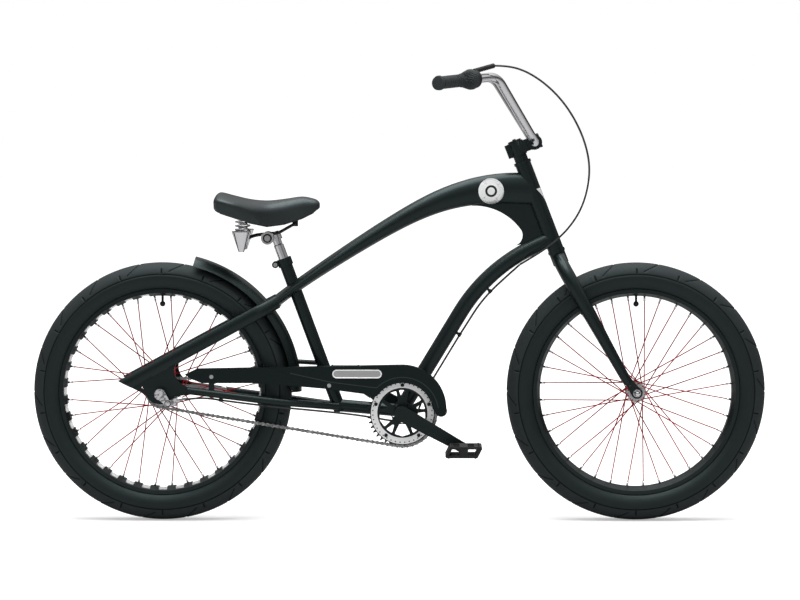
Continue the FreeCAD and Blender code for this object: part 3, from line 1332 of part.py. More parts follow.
def cable_clips(path):
    solid = nodes["shift_cable_frame"].Shape
    pieces = []
    spots = []
    for distance in (380, 240):
        point, toward, ahead = down_offset(distance)
        spots.append((point, toward, ahead, down_solid))
    stay_path = rounded_path(chain_stay_points(), [500, 160])
    stay = swept(stay_path, s.chain_stay_diameter / 2)
    for x in (rear_axle.x + 150, seat_foot.x - 180):
        point = min(path.discretize(400), key=lambda p: abs(p.x - x))
        on_stay = min(stay_path.discretize(400), key=lambda p: p.distanceToPoint(point))
        spots.append((point, (on_stay - point).normalize(), Vector(-1, 0, 0.1), stay))
    for point, toward, ahead, tube_solid in spots:
        hoop = bar_shape(point - ahead.normalize() * 5, ahead, s.cable_diameter / 2 + 1.6, 10)
        foot = bar_shape(point, toward, 3.5, 20)
        clip = hoop.fuse(foot).cut([solid, tube_solid])
        pieces.append(max(clip.Solids, key=lambda p: -p.CenterOfMass.distanceToPoint(point)))
    return feature("cable_clips", Part.makeCompound(pieces))


# Seat

clamp_centre = on_seat(s.clamp_rise, -s.clamp_back)
saddle_front = clamp_centre.x + s.saddle_nose
saddle_crown = clamp_centre.z + s.saddle_top
spring_spot = Vector(saddle_front - s.spring_back, 0, clamp_centre.z + s.cone_top)

# Saddle sections: part of the length from the nose, part of the half width, top and bottom.
SADDLE = (
    (0.00, 0.13, -5, -18), (0.06, 0.21, 5, -29), (0.17, 0.28, 10, -43), (0.34, 0.36, 4, -57),
    (0.50, 0.52, 0, -62), (0.66, 0.80, 3, -52), (0.82, 1.00, 12, -37), (0.94, 0.98, 20, -27),
    (1.00, 0.82, 9, -16),
)


def saddle_section(spot):
    where, wide, top, low = spot
    x = saddle_front - where * s.saddle_length
    half = wide * s.saddle_width / 2
    return float(x), float(half), float(saddle_crown + top), float(saddle_crown + low)


def saddle_cover():
    wires = []
    for spot in SADDLE:
        x, half, top, low = saddle_section(spot)
        waist = top - 0.45 * (top - low)
        foot = half * 0.88
        tuck, tuck_z = half * 0.985, (waist + low) / 2 - 1
        wires.append(Part.Wire([
            arc(Vector(x, -half, waist), Vector(x, 0, top), Vector(x, half, waist)),
            arc(Vector(x, half, waist), Vector(x, tuck, tuck_z), Vector(x, foot, low)),
            line(Vector(x, foot, low), Vector(x, -foot, low)),
            arc(Vector(x, -foot, low), Vector(x, -tuck, tuck_z), Vector(x, -half, waist))]))
    cover = Part.makeLoft(wires, True, False).cut(spring_rooms(s.seat_plate + 0.5))
    node("saddle_cover", feature("saddle_cover", largest(cover)))


def pan_low(x):
    # Height of the pan's underside at a place along the saddle.
    rows = [saddle_section(spot) for spot in SADDLE]
    for front, back in zip(rows, rows[1:]):
        if back[0] <= x <= front[0]:
            share = (front[0] - x) / (front[0] - back[0])
            return front[3] + (back[3] - front[3]) * share - 3.6
    return rows[-1][3] - 3.6


def spring_top():
    # Level underside of the pan's spring seats, up inside the cover.
    return pan_low(float(spring_spot.x)) + 4


def spring_rooms(above):
    # Room for both springs, from below the saddle to a height above their seats.
    return [bar_shape(Vector(spring_spot.x, way * s.spring_side, spring_top() - 40), up_axis,
                      s.spring_seat + 1.5, 40 + above) for way in (-1, 1)]


def nose_pivot():
    return Vector(saddle_front - 62, 0, pan_low(float(saddle_front) - 62) - 6)


def saddle_pan():
    wires = []
    for spot in SADDLE[1:-1]:
        x, half, _, low = saddle_section(spot)
        foot = half * 0.8
        corners = [Vector(x, -foot, low - 0.5), Vector(x, foot, low - 0.5), Vector(x, foot, low - 3.6),
                   Vector(x, -foot, low - 3.6)]
        wires.append(Part.Wire(polyline(corners + corners[:1])))
    pan = Part.makeLoft(wires, True, True)
    pivot = nose_pivot()
    hook = Part.makeBox(14, 12, 16, pivot + Vector(-7, -6, -7))
    cover = nodes["saddle_cover"].Shape
    wire_hole = bar_shape(pivot - side_axis * 50, side_axis, s.rail_diameter / 2 + s.running_gap, 100)
    seats = [bar_shape(Vector(spring_spot.x, way * s.spring_side, spring_top()), up_axis, s.spring_seat,
                       s.seat_plate) for way in (-1, 1)]
    pan = pan.cut(spring_rooms(0)).fuse([hook] + seats).cut([wire_hole, cover])
    node("saddle_pan", feature("saddle_pan", largest(pan)))


def rail_points():
    pivot = nose_pivot()
    side, wide = float(s.rail_spacing) / 2, float(s.spring_side)
    height = clamp_centre.z + 10.5
    half = [Vector(spring_spot.x, wide, spring_spot.z - s.cone_depth - 10), Vector(clamp_centre.x - 29, side, height - 3),
            Vector(clamp_centre.x + 27, side, height + 2), pivot + Vector(0, 15, 0)]
    return half + [Vector(p.x, -p.y, p.z) for p in reversed(half)]


def saddle_frame():
    path = rounded_path(rail_points(), [22, 40, 10, 10, 40, 22])
    rail = swept(path, s.rail_diameter / 2)
    wire = feature("rail_wire", rail)
    discs = []
    inside = s.rail_spacing / 2 - 4.5
    for way in (-1, 1):
        disc = bar_shape(clamp_centre + side_axis * (way * inside), side_axis * way,
                         s.clamp_diameter / 2, 9)
        hole = bar_shape(clamp_centre - side_axis * 100, side_axis, 4 + s.running_gap, 200)
        discs.append(disc.cut([hole, rail]))
    plates = feature("clamp_discs", Part.makeCompound([largest(disc) for disc in discs]))
    node("saddle_rails", group("saddle_rails", [wire, plates]))
    cones = []
    top, low, height = s.cone_top_diameter / 2, s.cone_bottom_diameter / 2, s.cone_height
    depth = s.cone_depth
    for name, way in (("right", -1), ("left", 1)):
        corners = [(0, -height), (low, -height), (top, -2), (top, 0), (top - 2.5, 0),
                   (s.spring_seat + 0.9, -depth), (0, -depth)]
        spot = spring_spot + side_axis * (way * s.spring_side)
        cone = turned("cone_turned_" + name, corners, spot, up_axis)
        cones.append(cut("cone_" + name, cone, [wire]))
    node("saddle_cones", group("saddle_cones", cones))


def biarc(start, way_in, end, way_out):
    # Two tangent arcs from one point and heading to another.
    span, both = end - start, way_in + way_out
    bend = 2 * (1 - way_in.dot(way_out))
    across = span.dot(both)
    reach = (math.sqrt(across ** 2 + bend * span.dot(span)) - across) / bend
    first, second = start + way_in * reach, end - way_out * reach
    joint = (first + second) * 0.5
    edges = []
    for a, apex, b in ((start, first, joint), (joint, second, end)):
        middle = (a + b) * 0.5
        half = (apex - a).getAngle(b - a)
        edges.append(arc(a, middle + (apex - middle) * (math.tan(half / 2) / math.tan(half)), b))
    return edges


def saddle_springs():
    wire = float(s.spring_wire)
    low = float(spring_spot.z - s.cone_depth) + wire / 2 + 0.1
    high = spring_top() - wire / 2 - 0.35
    turns = int(s.spring_turns)
    radius_low, radius_high = float(s.spring_seat) - wire / 2, float(s.spring_seat) - 1 - wire / 2

    def place(share):
        angle = 2 * math.pi * turns * share
        radius = radius_low + (radius_high - radius_low) * share
        return Vector(radius * math.cos(angle), radius * math.sin(angle), low + (high - low) * share)

    def way(share):
        return (place(share + 0.0005) - place(share - 0.0005)).normalize()

    steps = turns * 4
    edges = []
    for i in range(steps):
        edges += biarc(place(i / steps), way(i / steps), place((i + 1) / steps), way((i + 1) / steps))
    coil = swept(Part.Wire(edges), wire / 2)
    print("spring least gap", round((high - low) / turns - wire, 2), "volume", round(coil.Volume))
    springs = []
    for side in (-1, 1):
        copy = coil.copy()
        copy.translate(Vector(spring_spot.x, side * s.spring_side, 0))
        springs.append(copy)
    node("saddle_springs", feature("saddle_springs", Part.makeCompound(springs)))


def seat_post():
    reach, neck = s.post_reach, s.post_neck
    big, small = s.post_diameter / 2, s.post_neck_diameter / 2
    foot = reach - s.post_length
    corners = [(big - 2.4, foot), (big, foot), (big, reach - 3), (small, reach), (small, reach + neck),
               (small - 2.4, reach + neck), (small - 2.4, reach - 6), (big - 2.4, reach - 6)]
    node("seat_post", turned("seat_post", corners, seat_top, seat_up))
    width = s.rail_spacing / 2 - 4.5 - s.body_gap
    barrel = bar_shape(clamp_centre - side_axis * width, side_axis, 13, width * 2)
    band = bar_shape(on_seat(s.clamp_rise - 13), seat_up, small + 4.5, 20)
    web = Part.makeBox(24, 20, 22, Vector(-12, -10, -11))
    place = Placement(on_seat(s.clamp_rise, -s.clamp_back / 2), turn(seat_up))
    web.Placement = place.multiply(web.Placement)
    neck_hole = bar_shape(on_seat(0), seat_up, small, 200)
    bolt = bar_shape(clamp_centre - side_axis * 33, side_axis, 4, 66)
    body = barrel.fuse([band, web]).cut([neck_hole, bolt]).removeSplitter()
    ends = s.rail_spacing / 2 + 4.5 + s.body_gap
    heads = [bar_shape(clamp_centre + side_axis * (way * ends), side_axis * way, 7.5, 5) for way in (-1, 1)]
    bolt = bolt.fuse(heads).removeSplitter()
    node("saddle_clamp", feature("saddle_clamp", Part.makeCompound([body, bolt])))


def build_frame():
    head_tube()
    headset()
    top_tube()
    down_tube()
    head_gusset()
    seat_tube()
    bottom_tube()
    crank_shell()
    rear_dropouts()
    seat_stays()
    chain_stays()
    collar_bolt = seat_collar()
    fender_brackets = rear_fender()
    guard_brackets, guard_screws = chain_guard()
    axle_set("rear_axle_set", rear_axle, s.rear_axle_width, s.dropout_thickness, s.chain_line + 4,
             s.rear_hub_left, 24, False)
    bell_crank()
    brake_arm()
    clips = cable_clips(frame_cable())
    node("frame_brackets", group("frame_brackets", fender_brackets + [guard_brackets, clips]))
    node("frame_bolts", group("frame_bolts", [collar_bolt, guard_screws]))
    chain()


def build_steering():
    fork()
    axle_set("front_axle_set", front_axle, s.front_axle_width, s.fork_end_thickness, s.front_hub_width / 2,
             s.front_hub_width / 2, 8, True)
    stem()
    handlebar()
    grips()
    shifter()
    cable_loop()


def build_wheels():
    front_circle = float(s.front_flange_diameter / 2) - 3.5
    front_offset = float(s.front_flange_spacing / 2)
    rear_circle = float(s.rear_flange_diameter / 2) - 4
    rear_offset = float(s.rear_flange_spacing / 2)
    tyre("front_tyre", front_axle)
    inner_tube("front_inner_tube", front_axle)
    rim("front_rim", front_axle, False)
    spokes("front_spokes", front_axle, front_circle, front_offset)
    front_hub()
    tyre("rear_tyre", rear_axle)
    inner_tube("rear_inner_tube", rear_axle)
    rim("rear_rim", rear_axle, True)
    rim_strip(rear_axle)
    spokes("rear_spokes", rear_axle, rear_circle, rear_offset)
    rear_hub()
    rear_sprocket()


def build_cranks():
    bolts = chainring()
    crank_arm("crank_arm_right", -1)
    crank_arm("crank_arm_left", 1)
    crank_spindle(bolts)
    pedal("pedal_right", -1)
    pedal("pedal_left", 1)


def build_seat():
    seat_post()
    saddle_cover()
    saddle_pan()
    saddle_frame()
    saddle_springs()


def check_and_export():
    doc.recompute()
    for thing in doc.Objects:
        if "Invalid" in thing.State or "Error" in thing.State:
            raise RuntimeError("not built: " + thing.Label)
    os.makedirs("parts", exist_ok=True)
    for label, thing in nodes.items():
        shape = thing.Shape
        if shape.isNull() or not shape.isValid() or not shape.Solids:
            raise RuntimeError("bad shape: " + label)
        shape.exportStep("parts/" + label + ".step")
    print("nodes", len(nodes))


build_frame()
build_steering()
build_wheels()
build_cranks()
build_seat()
check_and_export()
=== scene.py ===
import bpy
import bmesh
import json
import math
from mathutils import Matrix, Vector
from mathutils.bvhtree import BVHTree


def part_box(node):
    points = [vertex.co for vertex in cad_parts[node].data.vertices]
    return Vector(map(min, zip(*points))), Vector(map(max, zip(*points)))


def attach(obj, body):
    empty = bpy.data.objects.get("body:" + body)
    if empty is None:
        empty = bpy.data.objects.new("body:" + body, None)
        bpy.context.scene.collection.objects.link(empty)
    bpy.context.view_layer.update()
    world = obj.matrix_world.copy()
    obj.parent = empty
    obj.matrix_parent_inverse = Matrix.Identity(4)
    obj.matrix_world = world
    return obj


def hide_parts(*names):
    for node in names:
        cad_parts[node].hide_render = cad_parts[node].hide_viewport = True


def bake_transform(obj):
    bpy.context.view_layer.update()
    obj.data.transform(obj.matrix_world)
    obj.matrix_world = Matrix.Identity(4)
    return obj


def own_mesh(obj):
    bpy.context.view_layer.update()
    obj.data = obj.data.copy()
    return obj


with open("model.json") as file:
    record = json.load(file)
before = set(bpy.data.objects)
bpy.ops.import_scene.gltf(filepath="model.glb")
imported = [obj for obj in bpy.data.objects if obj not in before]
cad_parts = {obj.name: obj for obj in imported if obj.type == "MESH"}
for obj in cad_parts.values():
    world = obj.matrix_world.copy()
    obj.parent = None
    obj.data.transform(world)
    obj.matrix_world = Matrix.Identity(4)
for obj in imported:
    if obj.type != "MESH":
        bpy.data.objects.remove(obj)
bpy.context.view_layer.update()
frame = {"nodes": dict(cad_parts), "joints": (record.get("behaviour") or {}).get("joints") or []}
nodes = frame["nodes"]
joints = {joint["name"]: joint for joint in frame["joints"]}
print("frame loaded:", len(nodes), "nodes")

millimetre = 0.001
across = Vector((0, 1, 0))
frontAxle = Vector(joints["front_wheel"]["pos_m"])
rearAxle = Vector(joints["rear_wheel"]["pos_m"])
crankCentre = Vector(joints["crank"]["pos_m"])


# shader maths

class Value:
    # wraps one socket, so that maths on it adds its own nodes
    def __init__(self, owner, socket):
        self.owner = owner
        self.socket = socket

    def maths(self, operation, first, second=0.0):
        return self.owner.node("Math", {"operation": operation}, {0: first, 1: second})

    def __add__(self, other):
        return self.maths("ADD", self, other)

    def __radd__(self, other):
        return self.maths("ADD", other, self)

    def __sub__(self, other):
        return self.maths("SUBTRACT", self, other)

    def __rsub__(self, other):
        return self.maths("SUBTRACT", other, self)

    def __mul__(self, other):
        return self.maths("MULTIPLY", self, other)

    def __rmul__(self, other):
        return self.maths("MULTIPLY", other, self)

    def __truediv__(self, other):
        return self.maths("DIVIDE", self, other)

    def __pow__(self, other):
        return self.maths("POWER", self, other)

    def over(self, other):
        return self.maths("GREATER_THAN", self, other)

    def absolute(self):
        return self.maths("ABSOLUTE", self)

    def most(self, other):
        return self.maths("MAXIMUM", self, other)

    def sine(self):
        return self.maths("SINE", self)

    def fraction(self):
        return self.maths("FRACT", self)

    def angleFrom(self, other):
        return self.maths("ARCTAN2", self, other)

    def step(self, low, high):
        return self.owner.node("MapRange", {"interpolation_type": "SMOOTHSTEP"},
                               {"Value": self, "From Min": low, "From Max": high})

    def band(self, rise, fall):
        # up from 0 to 1 over one range, down again over the next
        return self.step(*rise) * (1.0 - self.step(*fall))


class NodeSet:
    # adds nodes to one tree, of a material or the world
    def __init__(self, owner):
        owner.use_nodes = True
        self.tree = owner.node_tree

    def node(self, kind, settings, sockets, output=0):
        made = self.tree.nodes.new("ShaderNode" + kind)
        for key, setting in settings.items():
            if key == "stops":
                self.fillRamp(made.color_ramp, setting)
            else:
                setattr(made, key, setting)
        for key, given in sockets.items():
            self.feed(made.inputs[key], given)
        return Value(self, made.outputs[output])

    def fillRamp(self, ramp, stops):
        while len(ramp.elements) < len(stops):
            ramp.elements.new(0.5)
        for element, (place, colour) in zip(ramp.elements, stops):
            element.position = place
            element.color = (*colour, 1.0)

    def feed(self, socket, given):
        if isinstance(given, Value):
            self.tree.links.new(given.socket, socket)
        elif isinstance(given, tuple) and len(given) == 3 and socket.type == "RGBA":
            socket.default_value = (*given, 1.0)
        else:
            socket.default_value = given


class Finish(NodeSet):
    # one material: a Principled shader and what feeds it
    socketNames = {"baseColor": "Base Color", "coat": "Coat Weight", "ior": "Specular IOR Level",
                   "coatRoughness": "Coat Roughness", "tint": "Specular Tint", "glow": "Emission Color",
                   "glowStrength": "Emission Strength"}

    def __init__(self, name):
        self.material = bpy.data.materials.new(name)
        super().__init__(self.material)
        self.shader = self.tree.nodes["Principled BSDF"]
        self.coords = self.node("TexCoord", {}, {}, "Object")

    def set(self, **sockets):
        for key, given in sockets.items():
            self.feed(self.shader.inputs[self.socketNames.get(key, key.capitalize())], given)

    def noise(self, scale, detail=3.0, roughness=0.5, stretch=None):
        return self.node("TexNoise", {}, {"Vector": self.stretched(stretch), "Scale": scale,
                                          "Detail": detail, "Roughness": roughness})

    def cells(self, scale):
        return self.node("TexVoronoi", {}, {"Vector": self.coords, "Scale": scale}, "Distance")

    def stretched(self, stretch):
        if stretch is None:
            return self.coords
        return self.node("Mapping", {}, {"Vector": self.coords, "Scale": stretch})

    def mix(self, factor, first, second):
        return self.node("Mix", {"data_type": "RGBA"}, {0: factor, 6: first, 7: second}, 2)

    def bump(self, height, strength, distance):
        sockets = {"Height": height, "Strength": strength, "Distance": distance}
        self.set(normal=self.node("Bump", {}, sockets))

    def axes(self):
        # the three Object coordinates as values
        split = self.node("SeparateXYZ", {}, {0: self.coords}).socket.node
        return [Value(self, output) for output in split.outputs]

    def radius(self, centre):
        # distance from an axis along Y
        x, _, z = self.axes()
        dx, dz = x - centre.x, z - centre.z
        return (dx * dx + dz * dz) ** 0.5


# finishes

coolTint = (0.78, 1.0, 1.0)  # black paint and rubber mirror a little blue


def darker(colour, share):
    return tuple(share * part for part in colour)


def paint(name, colour, shine, crease=None):
    finish = Finish(name)
    cloud = finish.noise(9.0, 2.0)
    base = finish.mix(cloud, darker(colour, 0.8), colour)
    # where crease is given, a lighter painted highlight line is mixed over the base colour
    if crease:
        base = finish.mix(guardHighlightLines(finish, crease), base, crease["colour"])
    finish.set(baseColor=base, ior=shine["ior"], coat=shine["coat"], coatRoughness=0.22, tint=coolTint)
    peel = finish.noise(620.0, 2.0)
    finish.set(roughness=shine["rough"] + 0.06 * cloud + 0.03 * peel)
    finish.bump(peel, 0.05, 0.0004)
    return finish.material


def guardHighlightLines(finish, crease):
    # painted highlight along the lit edge of the guard's raised panel: two straight runs and an arc round
    # the crank
    x, _, z = finish.axes()
    dx, dz = x - crankCentre.x, z - crankCentre.z
    turn = dz.angleFrom(dx)
    start, stop = crease["turns"]

    def line(gap):
        return 1.0 - gap.absolute().step(0.5 * crease["width"], 1.2 * crease["width"])

    lines = line(finish.radius(crankCentre) - crease["radius"]) * turn.over(start) * (1.0 - turn.over(stop))
    for (x0, z0), (x1, z1) in zip(crease["corners"], crease["corners"][1:]):
        slope = (z1 - z0) / (x1 - x0)
        lines = lines.most(line(dz - (dx - x0) * slope - z0) * dx.over(x0) * (1.0 - dx.over(x1)))
    return lines


def polished(name, colour, rough):
    finish = Finish(name)
    smear = finish.noise(26.0, 4.0, 0.6)
    speck = finish.noise(340.0, 2.0)
    finish.set(baseColor=finish.mix(smear, darker(colour, 0.93), colour), metallic=1.0)
    finish.set(roughness=rough + 0.05 * smear + 0.02 * speck)
    return finish.material


def brushed(name, colour, rough, metal=1.0):
    finish = Finish(name)
    lines = finish.noise(55.0, 4.0, 0.7, (1.0, 34.0, 1.0))
    cloud = finish.noise(18.0, 3.0)
    finish.set(baseColor=finish.mix(cloud, darker(colour, 0.82), colour), metallic=metal)
    finish.set(roughness=rough + 0.12 * lines + 0.06 * cloud)
    finish.bump(lines, 0.08, 0.0003)
    return finish.material


def chainSteel():
    finish = Finish("chainSteel")
    grime = finish.noise(190.0, 4.0, 0.65)
    finish.set(baseColor=finish.mix(grime.step(0.35, 0.7), (0.12, 0.12, 0.12), (0.46, 0.46, 0.47)),
               metallic=0.8, roughness=0.26 + 0.2 * grime)
    finish.bump(grime, 0.12, 0.0003)
    return finish.material


def spokeRed(name, axle, nippleStart):
    finish = Finish(name)
    nipple = finish.radius(axle).over(nippleStart)
    cloud = finish.noise(40.0, 2.0)
    red = finish.mix(cloud, (0.30, 0.008, 0.011), (0.38, 0.012, 0.015))
    finish.set(baseColor=finish.mix(nipple, red, (0.78, 0.78, 0.8)), metallic=nipple,
               roughness=0.36 - 0.14 * nipple + 0.05 * cloud, ior=0.14)
    return finish.material


def tyreRubber(name, axle, shape):
    # cuts in the tread: long slanted ones with short straight ones between; the cuts and a line just below
    # the tread are painted near-black as shade in the grooves
    finish = Finish(name)
    x, _, z = finish.axes()
    dx, dz = x - axle.x, z - axle.z
    radius = (dx * dx + dz * dz) ** 0.5
    angle = dz.angleFrom(dx)
    rise = (radius - shape["tread"]) / (shape["crown"] - shape["tread"])
    pitch, soft = 2 * math.pi / shape["blocks"], shape["cutSoft"]

    def cut(turn, low, high):
        gap = ((turn / pitch + 0.5).fraction() - 0.5).absolute() * pitch * radius
        within = rise.band((low - soft, low + soft), (high - soft, high + soft))
        return within * (1.0 - gap.step(0.5 * shape["grooveWidth"], 1.2 * shape["grooveWidth"]))

    cuts = cut(angle - (1.0 - rise) * shape["slant"], *shape["longCut"])
    cuts = cuts.most(cut(angle - pitch / 2, *shape["shortCut"]))
    # painted shade: a dark line just below the tread, where the mesh steps in
    line = 1.0 - (rise + 0.05).absolute().step(0.04, 0.08)
    dark = cuts.most(line)
    tread = rise.step(0.0, 0.04)
    dust = finish.noise(60.0, 4.0, 0.6)
    wall = finish.mix(dust, (0.0044, 0.0066, 0.0068), (0.0074, 0.0100, 0.0102))
    top = finish.mix(dust, (0.0100, 0.0118, 0.0126), (0.0160, 0.0180, 0.0190))
    rubber = finish.mix(tread, wall, top)
    finish.set(baseColor=finish.mix(dark, rubber, (0.0010, 0.0014, 0.0015)), tint=coolTint, ior=0.36,
               roughness=(0.42 + 0.22 * tread + 0.08 * dust).most(0.95 * dark))
    hoops = (radius * shape["hoopTurns"]).sine() * (1.0 - radius.step(*shape["hoopFade"])) * 0.5
    grain = finish.noise(900.0, 3.0)
    finish.bump(hoops + 0.6 * grain - 2.0 * cuts, 0.22, 0.0006)
    return finish.material


def moulded(name, colour, rough, grainScale=520.0):
    finish = Finish(name)
    grain = finish.noise(grainScale, 3.0, 0.6)
    cloud = finish.noise(22.0, 2.0)
    finish.set(baseColor=finish.mix(cloud, darker(colour, 0.75), colour), ior=0.3,
               roughness=rough + 0.1 * grain + 0.05 * cloud)
    finish.bump(grain, 0.18, 0.0005)
    return finish.material


def vinyl():
    finish = Finish("saddleVinyl")
    pebble = finish.cells(520.0)
    crease = finish.noise(95.0, 5.0, 0.65)
    cloud = finish.noise(14.0, 2.0)
    hide = finish.mix(cloud, (0.0085, 0.0104, 0.0116), (0.0125, 0.0148, 0.0162))
    finish.set(baseColor=hide, ior=0.5, tint=(0.82, 0.98, 1.0),
               roughness=0.4 + 0.12 * crease - 0.08 * pebble)
    finish.bump(pebble + 0.5 * crease, 0.2, 0.0006)
    return finish.material


def cableJacket():
    finish = Finish("cableJacket")
    grain = finish.noise(700.0, 3.0)
    finish.set(baseColor=finish.mix(grain, (0.018, 0.019, 0.02), (0.034, 0.035, 0.036)), ior=0.4,
               roughness=0.34 + 0.1 * grain)
    finish.bump(grain, 0.1, 0.0003)
    return finish.material


def roundelPrint(label):
    # white disc with one plain dark ring
    finish = Finish("roundelPrint")
    radius = finish.radius(label["centre"])
    ringIn, ringOut = (share * label["radius"] for share in label["ring"])
    soft = label["edge"]
    ring = radius.band((ringIn - soft, ringIn), (ringOut, ringOut + soft))
    speck = finish.noise(300.0, 2.0)
    white = finish.mix(speck, (0.74, 0.75, 0.75), (0.8, 0.81, 0.81))
    finish.set(baseColor=finish.mix(ring, white, (0.012, 0.014, 0.014)), ior=0.3,
               roughness=0.3 + 0.08 * speck)
    return finish.material


def railSteel(clamp, shape):
    # black wire with bright clamp discs, dark between the rim and the bolt
    finish = Finish("railSteel")
    radius = finish.radius(clamp)
    hollow = radius.band(shape["hollowRise"], shape["hollowFall"])
    disc = (1.0 - radius.step(*shape["edge"])) * (1.0 - hollow)
    speck = finish.noise(240.0, 2.0)
    black = finish.mix(speck, (0.006, 0.0062, 0.0065), (0.009, 0.0094, 0.01))
    finish.set(baseColor=finish.mix(disc, black, (0.74, 0.74, 0.76)), metallic=disc,
               roughness=0.34 - 0.2 * disc + 0.05 * speck, ior=0.36)
    return finish.material


def pivotSteel(pivot, shape):
    # bright, with a dark ring of painted shade in the groove round the pivot, and random darker, rougher
    # patches
    finish = Finish("pivotSteel")
    # painted shade: the groove round the pivot is coloured near-black
    groove = finish.radius(pivot).band(shape["shadedGrooveRise"], shape["shadedGrooveFall"])
    dull = finish.noise(130.0, 3.0).step(0.46, 0.6)
    bright = finish.mix(dull, (0.82, 0.82, 0.84), (0.3, 0.3, 0.31))
    finish.set(baseColor=finish.mix(groove, bright, (0.02, 0.02, 0.02)), metallic=1.0 - groove,
               roughness=0.1 + 0.2 * dull)
    return finish.material


def badgePlate(badge):
    # a pale rim round a grey field
    finish = Finish("badgePlate")
    x, _, z = finish.axes()
    dx = ((x - badge["centre"].x).absolute() - (badge["length"] - badge["height"]) / 2).most(0.0)
    dz = z - badge["centre"].z
    rim = ((dx * dx + dz * dz) ** 0.5).step(*(badge["height"] / 2 - inset for inset in badge["paleRim"]))
    lines = finish.noise(60.0, 4.0, 0.7, (1.0, 1.0, 30.0))
    field = finish.mix(lines, (0.26, 0.26, 0.265), (0.42, 0.42, 0.425))
    finish.set(baseColor=finish.mix(rim, field, (0.86, 0.86, 0.87)), metallic=0.25,
               roughness=0.3 + 0.1 * lines)
    return finish.material


def whiteStrip():
    finish = Finish("whiteStrip")
    fibre = finish.noise(210.0, 3.0)
    finish.set(baseColor=finish.mix(fibre, (0.8, 0.8, 0.8), (0.9, 0.9, 0.9)), roughness=0.55 + 0.1 * fibre)
    return finish.material


nippleStart = 0.2302
# a painted highlight line, lighter than the guard paint, along the edge of the chain guard's raised panel
guardPanelHighlight = {"radius": 0.091, "turns": (0.157, 2.356), "width": 0.0011, "colour": (0.034, 0.042, 0.042),
               "corners": [(-0.281, 0.101), (-0.181, 0.079), (-0.0643, 0.0643)]}
guardBadge = {"centre": Vector((-0.105, 0, 0.3755)), "length": 0.124, "height": 0.022, "thick": 0.0016,
              "rim": 0.0018, "groove": 0.0006, "paleRim": (0.0034, 0.0026), "lift": 0.0001, "segments": 40}
clampDisc = {"edge": (0.0170, 0.0180), "hollowRise": (0.0068, 0.0075), "hollowFall": (0.0112, 0.0120)}
pivotShadeRing = {"shadedGrooveRise": (0.0056, 0.0062), "shadedGrooveFall": (0.0080, 0.0086)}
tyre = {"bead": 0.254, "shoulder": 0.260, "crown": 0.326, "half": 0.026, "wall": 0.004,
        "outerPoints": 64, "innerPoints": 6, "steps": 1080, "blocks": 18, "slant": 0.145,
        "tread": 0.2985, "grooveDepth": 0.0022, "grooveWidth": 0.0022, "grooveWall": 1.8,
        "stepDepth": 0.0012, "stepBelow": 0.0018, "stepAbove": 0.0002,
        "coreDrop": 0.006, "coreReach": 0.0325, "hoopTurns": 2400.0, "hoopFade": (0.272, 0.276),
        "longCut": (0.2, 1.1), "shortCut": (0.04, 0.5), "cutSoft": 0.03}
satin = {"rough": 0.3, "ior": 0.36, "coat": 0.0}
gloss = {"rough": 0.24, "ior": 0.36, "coat": 0.04}
deepSatin = {"rough": 0.3, "ior": 0.27, "coat": 0.0}
finishes = {
    "framePaint": paint("framePaint", (0.0036, 0.0062, 0.0064), satin),
    "guardPaint": paint("guardPaint", (0.0024, 0.0050, 0.0052), deepSatin, guardPanelHighlight),
    "blackParts": paint("blackParts", (0.0038, 0.0052, 0.0056), satin),
    "rimPaint": paint("rimPaint", (0.0044, 0.0064, 0.0066), gloss),
    "chrome": polished("chrome", (0.78, 0.78, 0.8), 0.06),
    "silver": brushed("silver", (0.62, 0.62, 0.63), 0.2),
    "ringSilver": brushed("ringSilver", (0.9, 0.9, 0.91), 0.3, 0.3),
    "pivotSteel": pivotSteel(Vector(joints["bell_crank"]["pos_m"]), pivotShadeRing),
    "badgePlate": badgePlate(guardBadge),
    "steel": brushed("steel", (0.55, 0.55, 0.57), 0.26),
    "chainSteel": chainSteel(),
    "gripRubber": moulded("gripRubber", (0.026, 0.033, 0.035), 0.6, 640.0),
    "blackPlastic": moulded("blackPlastic", (0.013, 0.0135, 0.014), 0.46),
    "valveRubber": moulded("valveRubber", (0.01, 0.011, 0.011), 0.5),
    "vinyl": vinyl(),
    "cableJacket": cableJacket(),
    "whiteStrip": whiteStrip(),
    "railSteel": railSteel(Vector(joints["saddle_tilt"]["pos_m"]), clampDisc),
}
for end, axle in (("front", frontAxle), ("rear", rearAxle)):
    finishes[end + "Spokes"] = spokeRed(end + "Spokes", axle, nippleStart)
    finishes[end + "Rubber"] = tyreRubber(end + "Rubber", axle, tyre)

nodeFinish = {
    "framePaint": ["head_tube", "top_tube", "down_tube", "head_gusset", "seat_tube", "bottom_tube",
                   "bottom_bracket", "rear_dropouts", "seat_stays", "chain_stays", "seat_collar",
                   "rear_fender", "frame_brackets", "fork_steerer", "fork_blades"],
    "blackParts": ["headset", "stem", "stem_faceplate", "crank_arm_right", "crank_arm_left", "chainring",
                   "crank_hardware", "stem_hardware"],
    "guardPaint": ["chain_guard"],
    "railSteel": ["saddle_rails"],
    "rimPaint": ["front_rim", "rear_rim"],
    "whiteStrip": ["rear_rim_strip"],
    "valveRubber": ["front_inner_tube", "rear_inner_tube"],
    "chrome": ["handlebar", "seat_post", "saddle_clamp", "saddle_cones", "front_axle_set"],
    "pivotSteel": ["bell_crank_housing", "bell_crank_lever"],
    "ringSilver": ["chainring_plate"],
    "silver": ["front_hub", "rear_hub", "frame_bolts"],
    "steel": ["rear_axle_set", "crank_spindle", "rear_sprocket", "coaster_brake_arm"],
    "cableJacket": ["shift_cable_frame"],
    "blackPlastic": ["shifter_housing", "pedal_right", "pedal_left", "saddle_pan"],
}


def coat(piece, finish):
    piece.data.materials.clear()
    piece.data.materials.append(finishes[finish])


